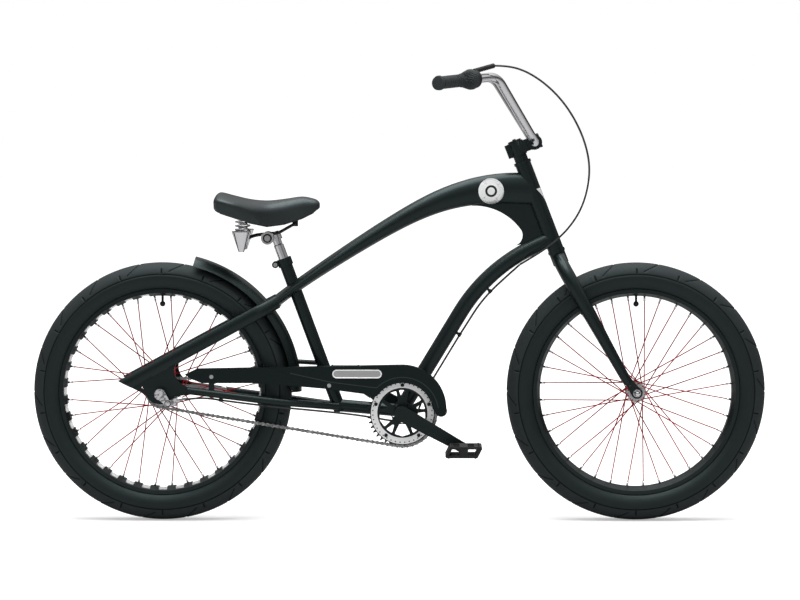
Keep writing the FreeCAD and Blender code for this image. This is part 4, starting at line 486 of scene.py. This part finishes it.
for finish, names in nodeFinish.items():
    for name in names:
        coat(nodes[name], finish)
print("finishes made:", len(finishes))


# mesh helpers

sharpFrom = math.radians(38)
tiny = 1e-6
upright = Matrix.Rotation(math.pi / 2, 4, "X")  # lays a circle in the XZ plane


def pieceFrom(mesh, name, body, finish, replaced=()):
    data = bpy.data.meshes.new(name)
    mesh.to_mesh(data)
    mesh.free()
    piece = bpy.data.objects.new(name, data)
    bpy.context.scene.collection.objects.link(piece)
    coat(piece, finish)
    data.shade_smooth()
    data.set_sharp_from_angle(angle=sharpFrom)
    if body:
        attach(piece, body)
    if replaced:
        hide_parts(*replaced)
    return piece


def spun(profile, steps, closed):
    # profile points are (radius, along); the axis is Y through the origin
    mesh = bmesh.new()
    corners = [mesh.verts.new((radius, along, 0)) for radius, along in profile]
    edges = [mesh.edges.new(pair) for pair in zip(corners, corners[1:])]
    if closed:
        edges.append(mesh.edges.new((corners[-1], corners[0])))
    bmesh.ops.spin(mesh, geom=corners + edges, cent=(0, 0, 0), axis=across, angle=2 * math.pi,
                   steps=steps, use_merge=True)
    bmesh.ops.remove_doubles(mesh, verts=mesh.verts, dist=tiny)
    bmesh.ops.recalc_face_normals(mesh, faces=mesh.faces)
    return mesh


def aim(axis, spot):
    # turns the Y axis to a direction and moves it to a place
    return Matrix.Translation(spot) @ across.rotation_difference(axis).to_matrix().to_4x4()


# tyres

def tyreArc(low, half, crown, points):
    # one arc over the crown, from bead to bead
    height = crown - low
    radius = (half * half + height * height) / (2 * height)
    centre = crown - radius
    spread = math.atan2(half, low - centre)
    turns = [spread - 2 * spread * i / (points - 1) for i in range(points)]
    return [(centre + radius * math.cos(turn), radius * math.sin(turn)) for turn in turns]


def grooveAt(angle, radius):
    # how deep the tread is cut at a place, from 0 to 1: long slanted cuts with short straight ones between
    pitch = 2 * math.pi / tyre["blocks"]
    rise = (radius - tyre["tread"]) / (tyre["crown"] - tyre["tread"])
    long = angle - (1 - rise) * tyre["slant"]
    short = angle - pitch / 2
    nearest = 0.0
    for turn, (low, high) in ((long, tyre["longCut"]), (short, tyre["shortCut"])):
        if low < rise < high:
            gap = abs((turn + pitch / 2) % pitch - pitch / 2) * radius
            nearest = max(nearest, 1.0 - gap / tyre["grooveWidth"])
    return min(1.0, max(0.0, nearest * tyre["grooveWall"]))


def buildTyre(name, axle, body):
    outer = tyreArc(tyre["shoulder"], tyre["half"], tyre["crown"], tyre["outerPoints"])
    half, thin = tyre["half"], tyre["half"] - tyre["wall"]
    inner = tyreArc(tyre["shoulder"], thin, tyre["crown"] - tyre["wall"], tyre["innerPoints"])
    profile = [(tyre["bead"], half)] + outer + [(tyre["bead"], -half), (tyre["bead"], -thin)]
    profile += list(reversed(inner)) + [(tyre["bead"], thin)]
    mesh = spun(profile, tyre["steps"], True)
    middle = (tyre["shoulder"] + tyre["crown"]) / 2
    for vert in mesh.verts:
        radius = math.hypot(vert.co.x, vert.co.z)
        outward = Vector((radius - middle + tyre["coreDrop"], vert.co.y))
        if outward.length < tyre["coreReach"]:
            continue  # inside wall
        angle = math.atan2(vert.co.z, vert.co.x)
        depth = tyre["grooveDepth"] * grooveAt(angle, radius)
        if -tyre["stepBelow"] < radius - tyre["tread"] < tyre["stepAbove"]:
            depth = max(depth, tyre["stepDepth"])
        push = outward.normalized() * -depth
        around = Vector((vert.co.x, 0, vert.co.z)).normalized()
        vert.co += around * push.x + across * push.y
    bmesh.ops.translate(mesh, verts=mesh.verts, vec=axle)
    end = name.split("_")[0]
    pieceFrom(mesh, name + "Tread", body, end + "Rubber", [name])


buildTyre("front_tyre", frontAxle, "front_wheel")
buildTyre("rear_tyre", rearAxle, "rear_wheel")
print("tyres built")


# spokes

spokeSwell = 0.0005


def buildSpokes(end):
    # the drawn spokes, a little fuller
    name = end + "_spokes"
    mesh = bmesh.new()
    mesh.from_mesh(nodes[name].data)
    bmesh.ops.remove_doubles(mesh, verts=mesh.verts, dist=tiny)
    bmesh.ops.recalc_face_normals(mesh, faces=mesh.faces)
    mesh.normal_update()
    for vert in mesh.verts:
        vert.co += vert.normal * spokeSwell
    pieceFrom(mesh, end + "SpokeSet", end + "_wheel", end + "Spokes", [name])


for end in ("front", "rear"):
    buildSpokes(end)
print("spokes built")


# chain

link = {"pitch": 0.0127, "ringTeeth": 42, "cogTeeth": 18, "line": -0.049, "lobe": 0.0043,
        "waist": 0.0026, "thick": 0.0011, "inner": 0.0018, "outer": 0.0031, "roller": 0.0039,
        "pin": 0.00175, "reach": 0.0046, "lobePoints": 7, "sides": 14}


def chainSpots():
    # roller centres: round the ring, along the lower run, round the cog and back along the upper run
    way = (crankCentre - rearAxle).normalized()
    rise = Vector((-way.z, 0, way.x))
    ring, cog = (link["pitch"] / (2 * math.sin(math.pi / link[key])) for key in ("ringTeeth", "cogTeeth"))
    span = (crankCentre - rearAxle).length
    lean = (ring - cog) / span
    level = math.sqrt(1 - lean * lean)
    over, under = rise * level - way * lean, -rise * level - way * lean
    wrap = math.asin(lean) / math.pi
    ringUnits, cogUnits = (0.5 + wrap) * link["ringTeeth"], (0.5 - wrap) * link["cogTeeth"]
    total = 2 * round((ringUnits + cogUnits + 2 * span * level / link["pitch"]) / 2)
    runUnits = (total - ringUnits - cogUnits) / 2

    def onArc(centre, radius, start, teeth, place):
        turn = math.atan2(start.z, start.x) - place * 2 * math.pi / teeth
        return centre + Vector((math.cos(turn), 0, math.sin(turn))) * radius

    spots = []
    for place in range(total):
        if place <= ringUnits:
            spots.append(onArc(crankCentre, ring, over, link["ringTeeth"], place))
        elif place <= ringUnits + runUnits:
            share = (place - ringUnits) / runUnits
            spots.append((crankCentre + under * ring).lerp(rearAxle + under * cog, share))
        elif place <= ringUnits + runUnits + cogUnits:
            spots.append(onArc(rearAxle, cog, under, link["cogTeeth"], place - ringUnits - runUnits))
        else:
            share = (place - ringUnits - runUnits - cogUnits) / runUnits
            spots.append((rearAxle + over * cog).lerp(crankCentre + over * ring, share))
    return [spot + across * link["line"] for spot in spots]


def plateOutline():
    # two round lobes with a waist between
    count, lobe = link["lobePoints"], link["lobe"]
    turns = [math.radians(180 - 135 * i / (count - 1)) for i in range(count)]
    near = [(lobe * math.cos(turn), lobe * math.sin(turn)) for turn in turns]
    far = [(link["pitch"] - x, z) for x, z in reversed(near)]
    top = near + [(link["pitch"] / 2, link["waist"])] + far
    return top + [(x, -z) for x, z in reversed(top[1:-1])]


def addPlate(mesh, outline, place, low):
    ring = bmesh.ops.create_circle(mesh, cap_ends=True, radius=1.0, segments=len(outline))["verts"]
    for vert, (x, z) in zip(ring, outline):
        vert.co = (x, low, z)
    made = bmesh.ops.extrude_face_region(mesh, geom=list(ring[0].link_faces))["geom"]
    raised = [item for item in made if isinstance(item, bmesh.types.BMVert)]
    bmesh.ops.translate(mesh, verts=raised, vec=across * link["thick"])
    bmesh.ops.transform(mesh, matrix=place, verts=ring + raised)


def buildChain():
    mesh = bmesh.new()
    spots = chainSpots()
    outline = plateOutline()
    for i, spot in enumerate(spots):
        way = spots[(i + 1) % len(spots)] - spot
        place = Matrix.Translation(spot) @ Matrix.Rotation(-math.atan2(way.z, way.x), 4, "Y")
        low = link["outer"] if i % 2 else link["inner"]
        for start in (low, -low - link["thick"]):
            addPlate(mesh, outline, place, start)
        for radius, half in ((link["roller"], link["inner"]), (link["pin"], link["reach"])):
            bmesh.ops.create_cone(mesh, cap_ends=True, segments=link["sides"], depth=2 * half,
                                  radius1=radius, radius2=radius, matrix=Matrix.Translation(spot) @ upright)
    bmesh.ops.recalc_face_normals(mesh, faces=mesh.faces)
    pieceFrom(mesh, "chainLinks", "frame", "chainSteel", ["chain"])


buildChain()
print("chain built")


# shift cable

cable = {"diameter": 0.005, "sides": 12, "resolution": 24, "bendStart": 5, "bendEnd": 13,
         "exitAlong": 0.1363, "exitAside": Vector((0.0482, 0.0444, 0.0326))}
bars = {"forkOffset": 0.060, "gripReach": 0.105}
steerUp = Vector(joints["steering"]["axis"])
steerAhead = Vector((steerUp.z, 0, -steerUp.x))
steerFoot = frontAxle - steerAhead * bars["forkOffset"]
gripAxis = Vector(joints["twist_shift"]["axis"])
gripEnd = Vector(joints["twist_shift"]["pos_m"]) - gripAxis * bars["gripReach"]


def onSteer(along, ahead, side):
    # a place in mm on the steering axis' own directions
    return steerFoot + (steerUp * along + steerAhead * ahead + across * side) * millimetre


cableRoute = [
    (882, 48, -217), (852, 86, -205), (806, 119, -192), (752, 143, -177), (694, 156, -160),
    (634, 159, -141), (577, 150, -121), (526, 126, -100), (483, 93, -80), (452, 53, -60),
    (433, 14, -44), (421, -22, -33), (412, -61, -22), (405, -98, -8),
]
cableExit = gripEnd + gripAxis * cable["exitAlong"] + cable["exitAside"]


def smoothLine(points, resolution):
    # points along a NURBS line that has these as its control points
    curve = bpy.data.curves.new("routeLine", "CURVE")
    curve.dimensions = "3D"
    spline = curve.splines.new("NURBS")
    spline.points.add(len(points) - 1)
    for point, spot in zip(spline.points, points):
        point.co = (*spot, 1.0)
    spline.order_u = 3
    spline.use_endpoint_u = True
    spline.resolution_u = resolution
    return readLine(curve)


def readLine(curve):
    holder = bpy.data.objects.new("routeHolder", curve)
    bpy.context.scene.collection.objects.link(holder)
    bpy.context.view_layer.update()
    line = bpy.data.meshes.new_from_object(holder.evaluated_get(bpy.context.evaluated_depsgraph_get()))
    spots = [vert.co.copy() for vert in line.vertices]
    bpy.data.objects.remove(holder)
    bpy.data.meshes.remove(line)
    return spots


def tubeMesh(spots, radius, sides):
    # a round tube that follows the spots, its ends closed
    mesh = bmesh.new()
    rings = []
    normal = None
    for i, spot in enumerate(spots):
        way = (spots[min(i + 1, len(spots) - 1)] - spots[max(i - 1, 0)]).normalized()
        if normal is None:
            normal = way.orthogonal().normalized()
        normal = (normal - way * normal.dot(way)).normalized()
        place = Matrix((normal, way.cross(normal), way)).transposed().to_4x4()
        place.translation = spot
        rings.append(bmesh.ops.create_circle(mesh, cap_ends=i in (0, len(spots) - 1), radius=radius,
                                             segments=sides, matrix=place)["verts"])
    for near, far in zip(rings, rings[1:]):
        bmesh.ops.bridge_loops(mesh, edges=ringEdges(near) + ringEdges(far))
    bmesh.ops.recalc_face_normals(mesh, faces=mesh.faces)
    return mesh


def ringEdges(ring):
    members = set(ring)
    return [edge for edge in {edge for vert in ring for edge in vert.link_edges}
            if edge.verts[0] in members and edge.verts[1] in members]


def buildCable():
    points = [cableExit] + [onSteer(*spot) for spot in cableRoute]
    line = smoothLine(points, cable["resolution"])
    mesh = tubeMesh(line, cable["diameter"] / 2, cable["sides"])
    piece = pieceFrom(mesh, "shiftCable", None, "cableJacket", ["shift_cable_loop"])
    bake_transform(piece)


buildCable()


# saddle

saddle = {"nose": -0.200, "length": 0.262, "top": 0.808, "halfWidth": 0.118, "crown": 11, "between": 4,
          "skirt": 0.0015, "creaseDepth": 0.0038}
# share of the length, share of the height
creaseHeights = [(0.0, 0.07), (0.55, 0.07), (0.60, 0.3), (0.66, 0.46), (0.76, 0.54), (0.88, 0.54),
                 (1.01, 0.5)]
# share of the length, share of the width, top and bottom in mm
saddleSections = [
    (0.000, 0.10, -7, -16), (0.008, 0.145, -3, -19), (0.025, 0.18, 1, -22), (0.06, 0.215, 5, -29),
    (0.17, 0.28, 10, -43), (0.34, 0.36, 4, -57), (0.50, 0.52, 0, -62), (0.66, 0.80, 3, -52),
    (0.82, 1.00, 12, -37), (0.94, 0.985, 20, -27), (0.98, 0.92, 17, -22), (1.00, 0.82, 9, -16),
]


def blendedSections():
    # more sections between the given ones, on a smooth curve through them
    rows = [saddleSections[0]] + saddleSections + [saddleSections[-1]]
    made = []
    for a, b, c, d in zip(rows, rows[1:], rows[2:], rows[3:]):
        for i in range(saddle["between"]):
            t = i / saddle["between"]
            made.append([0.5 * (2 * q + (r - p) * t + (2 * p - 5 * q + 4 * r - s) * t * t
                                + (3 * q - p - 3 * r + s) * t ** 3) for p, q, r, s in zip(a, b, c, d)])
    return made + [list(saddleSections[-1])]


def creaseAt(where):
    for (start, low), (stop, high) in zip(creaseHeights, creaseHeights[1:]):
        if where <= stop:
            return low + (high - low) * (where - start) / (stop - start)


def saddleProfile(section):
    # from the top centre down one side to the bottom centre: crown, crease, skirt and hollow underside
    where, wide, top, low = section
    half = wide * saddle["halfWidth"]
    high, under = saddle["top"] + top * millimetre, saddle["top"] + low * millimetre - 0.0003
    bottom = under - saddle["skirt"]
    height = high - bottom
    crease = bottom + height * creaseAt(where)
    waist = max(bottom + 0.5 * height, crease + 0.06 * height)
    deep = saddle["creaseDepth"] * min(1.0, max(0.15, (where - 0.52) / 0.12))
    profile = []
    for i in range(saddle["crown"]):
        turn = math.pi / 2 * (1 - i / (saddle["crown"] - 1))
        profile.append((half * math.cos(turn) ** 0.9, waist + (high - waist) * math.sin(turn)))
    inner = half - deep
    profile += [(half, crease + 0.03 * height), (half - 0.2 * deep, crease + 0.004 * height),
                (inner, crease - 0.012 * height), (0.96 * inner, bottom + 0.4 * (crease - bottom)),
                (0.92 * inner, bottom + 0.0006), (0.90 * inner, bottom), (0.87 * inner, bottom),
                (0.86 * inner, under), (0.4 * inner, under), (0.0, under)]
    return profile


def saddleRing(mesh, section):
    side = saddleProfile(section)
    outline = side + [(-y, z) for y, z in reversed(side[1:-1])]
    x = saddle["nose"] - section[0] * saddle["length"]
    ring = bmesh.ops.create_circle(mesh, cap_ends=False, radius=1.0, segments=len(outline))["verts"]
    for vert, (y, z) in zip(ring, outline):
        vert.co = (x, y, z)
    return ring


def buildSaddle():
    mesh = bmesh.new()
    rings = [saddleRing(mesh, section) for section in blendedSections()]
    for near, far in zip(rings, rings[1:]):
        bmesh.ops.bridge_loops(mesh, edges=ringEdges(near) + ringEdges(far))
    for ring in (rings[0], rings[-1]):
        bmesh.ops.contextual_create(mesh, geom=ringEdges(ring))
    bmesh.ops.recalc_face_normals(mesh, faces=mesh.faces)
    piece = pieceFrom(mesh, "saddleCushion", "saddle_top", "vinyl", ["saddle_cover"])


buildSaddle()
print("saddle built")


# saddle springs

coil = {"side": 0.070, "turns": 4, "wire": 0.004, "perTurn": 28, "sides": 10, "keep": 0.766}


def buildSprings():
    lowBox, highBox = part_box("saddle_springs")
    middle = (lowBox + highBox) / 2
    low, high = lowBox.z + coil["wire"] / 2, highBox.z - coil["wire"] / 2
    radius = (highBox.x - lowBox.x - coil["wire"]) / 2
    count = coil["turns"] * coil["perTurn"]
    for name, side in (("right", -coil["side"]), ("left", coil["side"])):
        spots = []
        for i in range(count + 1):
            share = i / count
            turn = 2 * math.pi * coil["turns"] * share
            spots.append(Vector((middle.x + radius * math.cos(turn), side + radius * math.sin(turn),
                                 low + (high - low) * share)))
        mesh = tubeMesh(spots, coil["wire"] / 2, coil["sides"])
        replaced = ["saddle_springs"] if side < 0 else []
        piece = pieceFrom(mesh, "saddleSpring." + name, "saddle_frame", "chrome", replaced)
        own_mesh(piece)


buildSprings()


# grips

grip = {"bar": 0.0111, "radius": 0.0155, "flange": 0.01775, "rightLength": 0.082, "leftLength": 0.150,
        "ribDepth": 0.0008, "ribStart": 0.028, "ribStop": 0.030, "ribPitch": 0.0075,
        "rings": (0.022, 0.015, 0.008), "steps": 64}
leftAxis = Vector((gripAxis.x, -gripAxis.y, gripAxis.z))
leftEnd = Vector((gripEnd.x, -gripEnd.y, gripEnd.z))


def gripProfile(length):
    thick, flange, deep = grip["radius"], grip["flange"], grip["ribDepth"]
    profile = [(0.0, -0.004), (flange - 0.005, -0.004), (flange - 0.0012, -0.0028), (flange, -0.001),
               (flange, 0.0035), (flange - 0.001, 0.0045), (thick - 0.0012, 0.0052),
               (thick - 0.0012, 0.0078), (thick, 0.0085), (thick, 0.026)]
    place = grip["ribStart"]
    while place < length - grip["ribStop"]:
        profile += [(thick, place), (thick - deep, place + 0.0008), (thick - deep, place + 0.0022),
                    (thick, place + 0.003)]
        place += grip["ribPitch"]
    for ring in grip["rings"]:
        profile += [(thick, length - ring), (thick - 2 * deep, length - ring + 0.0008),
                    (thick - 2 * deep, length - ring + 0.0026), (thick, length - ring + 0.0034)]
    return profile + [(thick, length - 0.001), (thick - 0.001, length), (grip["bar"], length),
                      (grip["bar"], 0.0), (0.0, 0.0)]


def buildGrip(name, end, axis, length, replaced):
    mesh = spun(gripProfile(length), grip["steps"], False)
    bmesh.ops.transform(mesh, matrix=aim(axis, end), verts=mesh.verts)
    pieceFrom(mesh, name, "steering", "gripRubber", replaced)


buildGrip("grip.right", gripEnd, gripAxis, grip["rightLength"], ["grips"])
buildGrip("grip.left", leftEnd, leftAxis, grip["leftLength"], [])

twist = {"start": 0.0824, "length": 0.045, "inner": 0.0112, "small": 0.0155, "large": 0.025, "ribs": 30,
         "ribHeight": 0.0009, "steps": 120}


def buildTwist():
    start, stop = twist["start"], twist["start"] + twist["length"]
    small, large = twist["small"], twist["large"]
    profile = [(twist["inner"], start), (small, start), (small + 0.0006, start + 0.003),
               (small + 0.001, start + 0.010), (small + 0.002, start + 0.014),
               (small + 0.0045, start + 0.022), (large - 0.0025, start + 0.031),
               (large - 0.0008, stop - 0.0095), (large, stop - 0.0075), (large, stop - 0.001),
               (large - 0.001, stop), (twist["inner"], stop)]
    mesh = spun(profile, twist["steps"], True)
    for vert in mesh.verts:
        radius = math.hypot(vert.co.x, vert.co.z)
        if radius < small - 0.0001 or not start + 0.002 < vert.co.y < start + 0.033:
            continue  # bore and end faces
        turn = math.atan2(vert.co.z, vert.co.x)
        lift = 1 + twist["ribHeight"] * math.cos(turn * twist["ribs"]) / radius
        vert.co.x *= lift
        vert.co.z *= lift
    bmesh.ops.transform(mesh, matrix=aim(gripAxis, gripEnd), verts=mesh.verts)
    pieceFrom(mesh, "twistSleeve", "twist_shifter", "gripRubber", ["twist_grip"])


buildTwist()
print("grips built")


# roundel, badges

roundel = {"centre": Vector((0.231, 0, 0.832)), "radius": 0.032, "lift": 0.0004, "rings": 14,
           "segments": 64, "ring": (0.3, 0.46), "edge": 0.0004}


def surfaceTree(name):
    mesh = nodes[name].data
    verts = [vert.co.copy() for vert in mesh.vertices]
    return BVHTree.FromPolygons(verts, [tuple(face.vertices) for face in mesh.polygons])


def buildRoundel():
    mesh = bmesh.new()
    rings = []
    for i in range(1, roundel["rings"] + 1):
        radius = roundel["radius"] * i / roundel["rings"]
        rings.append(bmesh.ops.create_circle(mesh, cap_ends=i == 1, radius=radius, matrix=upright,
                                             segments=roundel["segments"])["verts"])
    for near, far in zip(rings, rings[1:]):
        bmesh.ops.bridge_loops(mesh, edges=ringEdges(near) + ringEdges(far))
    bmesh.ops.translate(mesh, verts=mesh.verts, vec=roundel["centre"])
    tree = surfaceTree("top_tube")
    for vert in mesh.verts:
        spot, normal, _, _ = tree.ray_cast(Vector((vert.co.x, -1.0, vert.co.z)), across)
        vert.co = spot - normal * math.copysign(roundel["lift"], normal.y)
    bmesh.ops.recalc_face_normals(mesh, faces=mesh.faces)
    if list(mesh.faces)[0].normal.y > 0:
        bmesh.ops.reverse_faces(mesh, faces=mesh.faces)
    finishes["roundelPrint"] = roundelPrint(roundel)
    pieceFrom(mesh, "topTubeRoundel", "frame", "roundelPrint")


def buildGuardBadge():
    mesh = bmesh.new()
    half = guardBadge["height"] / 2
    made = bmesh.ops.create_circle(mesh, cap_ends=True, radius=half, segments=guardBadge["segments"],
                                   matrix=upright)["verts"]
    reach = guardBadge["length"] / 2 - half
    for vert in made:
        vert.co.x += math.copysign(reach, vert.co.x) if abs(vert.co.x) > tiny else 0.0
    face = list(mesh.faces)[0]
    top = bmesh.ops.extrude_face_region(mesh, geom=[face])["geom"]
    raised = [item for item in top if isinstance(item, bmesh.types.BMVert)]
    bmesh.ops.translate(mesh, verts=raised, vec=(0, -guardBadge["thick"], 0))
    lid = [item for item in top if isinstance(item, bmesh.types.BMFace)]
    bmesh.ops.inset_region(mesh, faces=lid, thickness=guardBadge["rim"], depth=0.0)
    bmesh.ops.inset_region(mesh, faces=lid, thickness=guardBadge["groove"], depth=-guardBadge["groove"])
    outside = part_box("chain_guard")[0].y - guardBadge["lift"]
    bmesh.ops.translate(mesh, verts=mesh.verts, vec=guardBadge["centre"] + across * outside)
    bmesh.ops.recalc_face_normals(mesh, faces=mesh.faces)
    pieceFrom(mesh, "guardBadge", "frame", "badgePlate")


headBadge = {"top": 568, "height": 58, "spread": 1.15, "taper": 1.3, "lift": 0.0004, "away": 0.1,
             "columns": 16, "rows": 16}


def buildHeadBadge():
    # a bare shield bent round the front of the head tube
    mesh = bmesh.new()
    bmesh.ops.create_grid(mesh, x_segments=headBadge["columns"], y_segments=headBadge["rows"], size=0.5)
    tree = surfaceTree("head_tube")
    for vert in mesh.verts:
        down = min(1.0, max(0.0, 0.5 - vert.co.y))
        turn = 2 * vert.co.x * headBadge["spread"] * (1 - down) ** headBadge["taper"]
        outward = steerAhead * math.cos(turn) + across * math.sin(turn)
        start = onSteer(headBadge["top"] - down * headBadge["height"], 0, 0) + outward * headBadge["away"]
        vert.co = tree.ray_cast(start, -outward)[0] + outward * headBadge["lift"]
    bmesh.ops.remove_doubles(mesh, verts=mesh.verts, dist=tiny)
    bmesh.ops.recalc_face_normals(mesh, faces=mesh.faces)
    if list(mesh.faces)[0].normal.dot(steerAhead) < 0:
        bmesh.ops.reverse_faces(mesh, faces=mesh.faces)
    pieceFrom(mesh, "headBadge", "frame", "ringSilver")


buildRoundel()
buildGuardBadge()
buildHeadBadge()
print("badges built")


# stage, light and camera

stage = {"floorSize": 60.0, "floorDrop": 0.0005, "nearGlow": 0.36, "farGlow": 0.72, "near": 1.4,
         "far": 4.0, "worldGlow": 0.5}
lamps = {"key": {"power": 310.0, "size": 5.0, "spot": (-0.3, -0.4, 5.2), "target": (0, 0, 0.4)},
         "fill": {"power": 12.0, "size": 4.0, "spot": (1.5, -5.5, 2.2), "target": (0, 0, 0.5)}}
# share of the way from straight down to straight up, grey
mirrorStops = [(0.0, 0.5), (0.5, 0.5), (0.515, 0.03), (0.6, 0.06), (0.7, 0.5), (0.85, 1.0)]
camera = {"distance": 8.0, "height": 1.09, "x": 0.06, "aimX": 0.002, "aimZ": 0.5566, "pixel": 0.002523,
          "sensor": 36.0, "wide": 800}


def buildFloor():
    mesh = bmesh.new()
    bmesh.ops.create_grid(mesh, x_segments=1, y_segments=1, size=stage["floorSize"] / 2)
    bmesh.ops.translate(mesh, verts=mesh.verts, vec=(0, 0, -stage["floorDrop"]))
    data = bpy.data.meshes.new("floor")
    mesh.to_mesh(data)
    mesh.free()
    floor = bpy.data.objects.new("floor", data)
    bpy.context.scene.collection.objects.link(floor)
    finish = Finish("floorPaper")
    seen = finish.node("LightPath", {}, {}, "Is Camera Ray")
    mirrored = finish.node("LightPath", {}, {}, "Is Glossy Ray")
    x, y, _ = finish.axes()
    away = ((x * x + y * y) ** 0.5).step(stage["near"], stage["far"])
    glow = seen * (stage["nearGlow"] + (stage["farGlow"] - stage["nearGlow"]) * away)
    finish.set(baseColor=finish.mix(mirrored, (0.86, 0.86, 0.86), (0.5, 0.5, 0.5)), roughness=0.9, ior=0.0)
    finish.set(glow=finish.mix(glow, (0.0, 0.0, 0.0), (1.0, 1.0, 1.0)), glowStrength=1.0)
    floor.data.materials.append(finish.material)


def buildWorld():
    # white to the camera; what is mirrored darkens toward the horizon, as in a tented studio
    world = bpy.data.worlds.new("studio")
    bpy.context.scene.world = world
    studio = NodeSet(world)
    height = studio.node("SeparateXYZ", {}, {0: studio.node("TexCoord", {}, {}, "Generated")}, "Z")
    greys = [(place, (grey, grey, grey)) for place, grey in mirrorStops]
    mirrored = studio.node("ValToRGB", {"stops": greys}, {0: 0.5 + 0.5 * height})
    seen, glossy, through = (studio.node("LightPath", {}, {}, "Is %s Ray" % kind)
                             for kind in ("Camera", "Glossy", "Transmission"))
    soft = stage["worldGlow"] + (mirrored - stage["worldGlow"]) * glossy
    back = studio.tree.nodes["Background"]
    studio.feed(back.inputs["Color"], (1.0, 1.0, 1.0))
    studio.feed(back.inputs["Strength"], soft + (1.0 - soft) * seen.most(through))


def lamp(name, power, size, spot, target):
    data = bpy.data.lights.new(name, "AREA")
    data.energy = power
    data.shape = "DISK"
    data.size = size
    thing = bpy.data.objects.new(name, data)
    thing.location = spot
    thing.rotation_euler = (Vector(target) - Vector(spot)).to_track_quat("-Z", "Y").to_euler()
    bpy.context.scene.collection.objects.link(thing)


def buildCamera():
    data = bpy.data.cameras.new("camera")
    data.sensor_width = camera["sensor"]
    spot = Vector((camera["x"], -camera["distance"], camera["height"]))
    target = Vector((camera["aimX"], 0, camera["aimZ"]))
    data.lens = camera["sensor"] * (target - spot).length / (camera["pixel"] * camera["wide"])
    thing = bpy.data.objects.new("camera", data)
    thing.location = spot
    thing.rotation_euler = (target - spot).to_track_quat("-Z", "Y").to_euler()
    bpy.context.scene.collection.objects.link(thing)
    bpy.context.scene.camera = thing


buildFloor()
buildWorld()
for name, given in lamps.items():
    lamp(name, **given)
buildCamera()
bpy.context.scene.view_settings.view_transform = "Standard"
print("stage set")
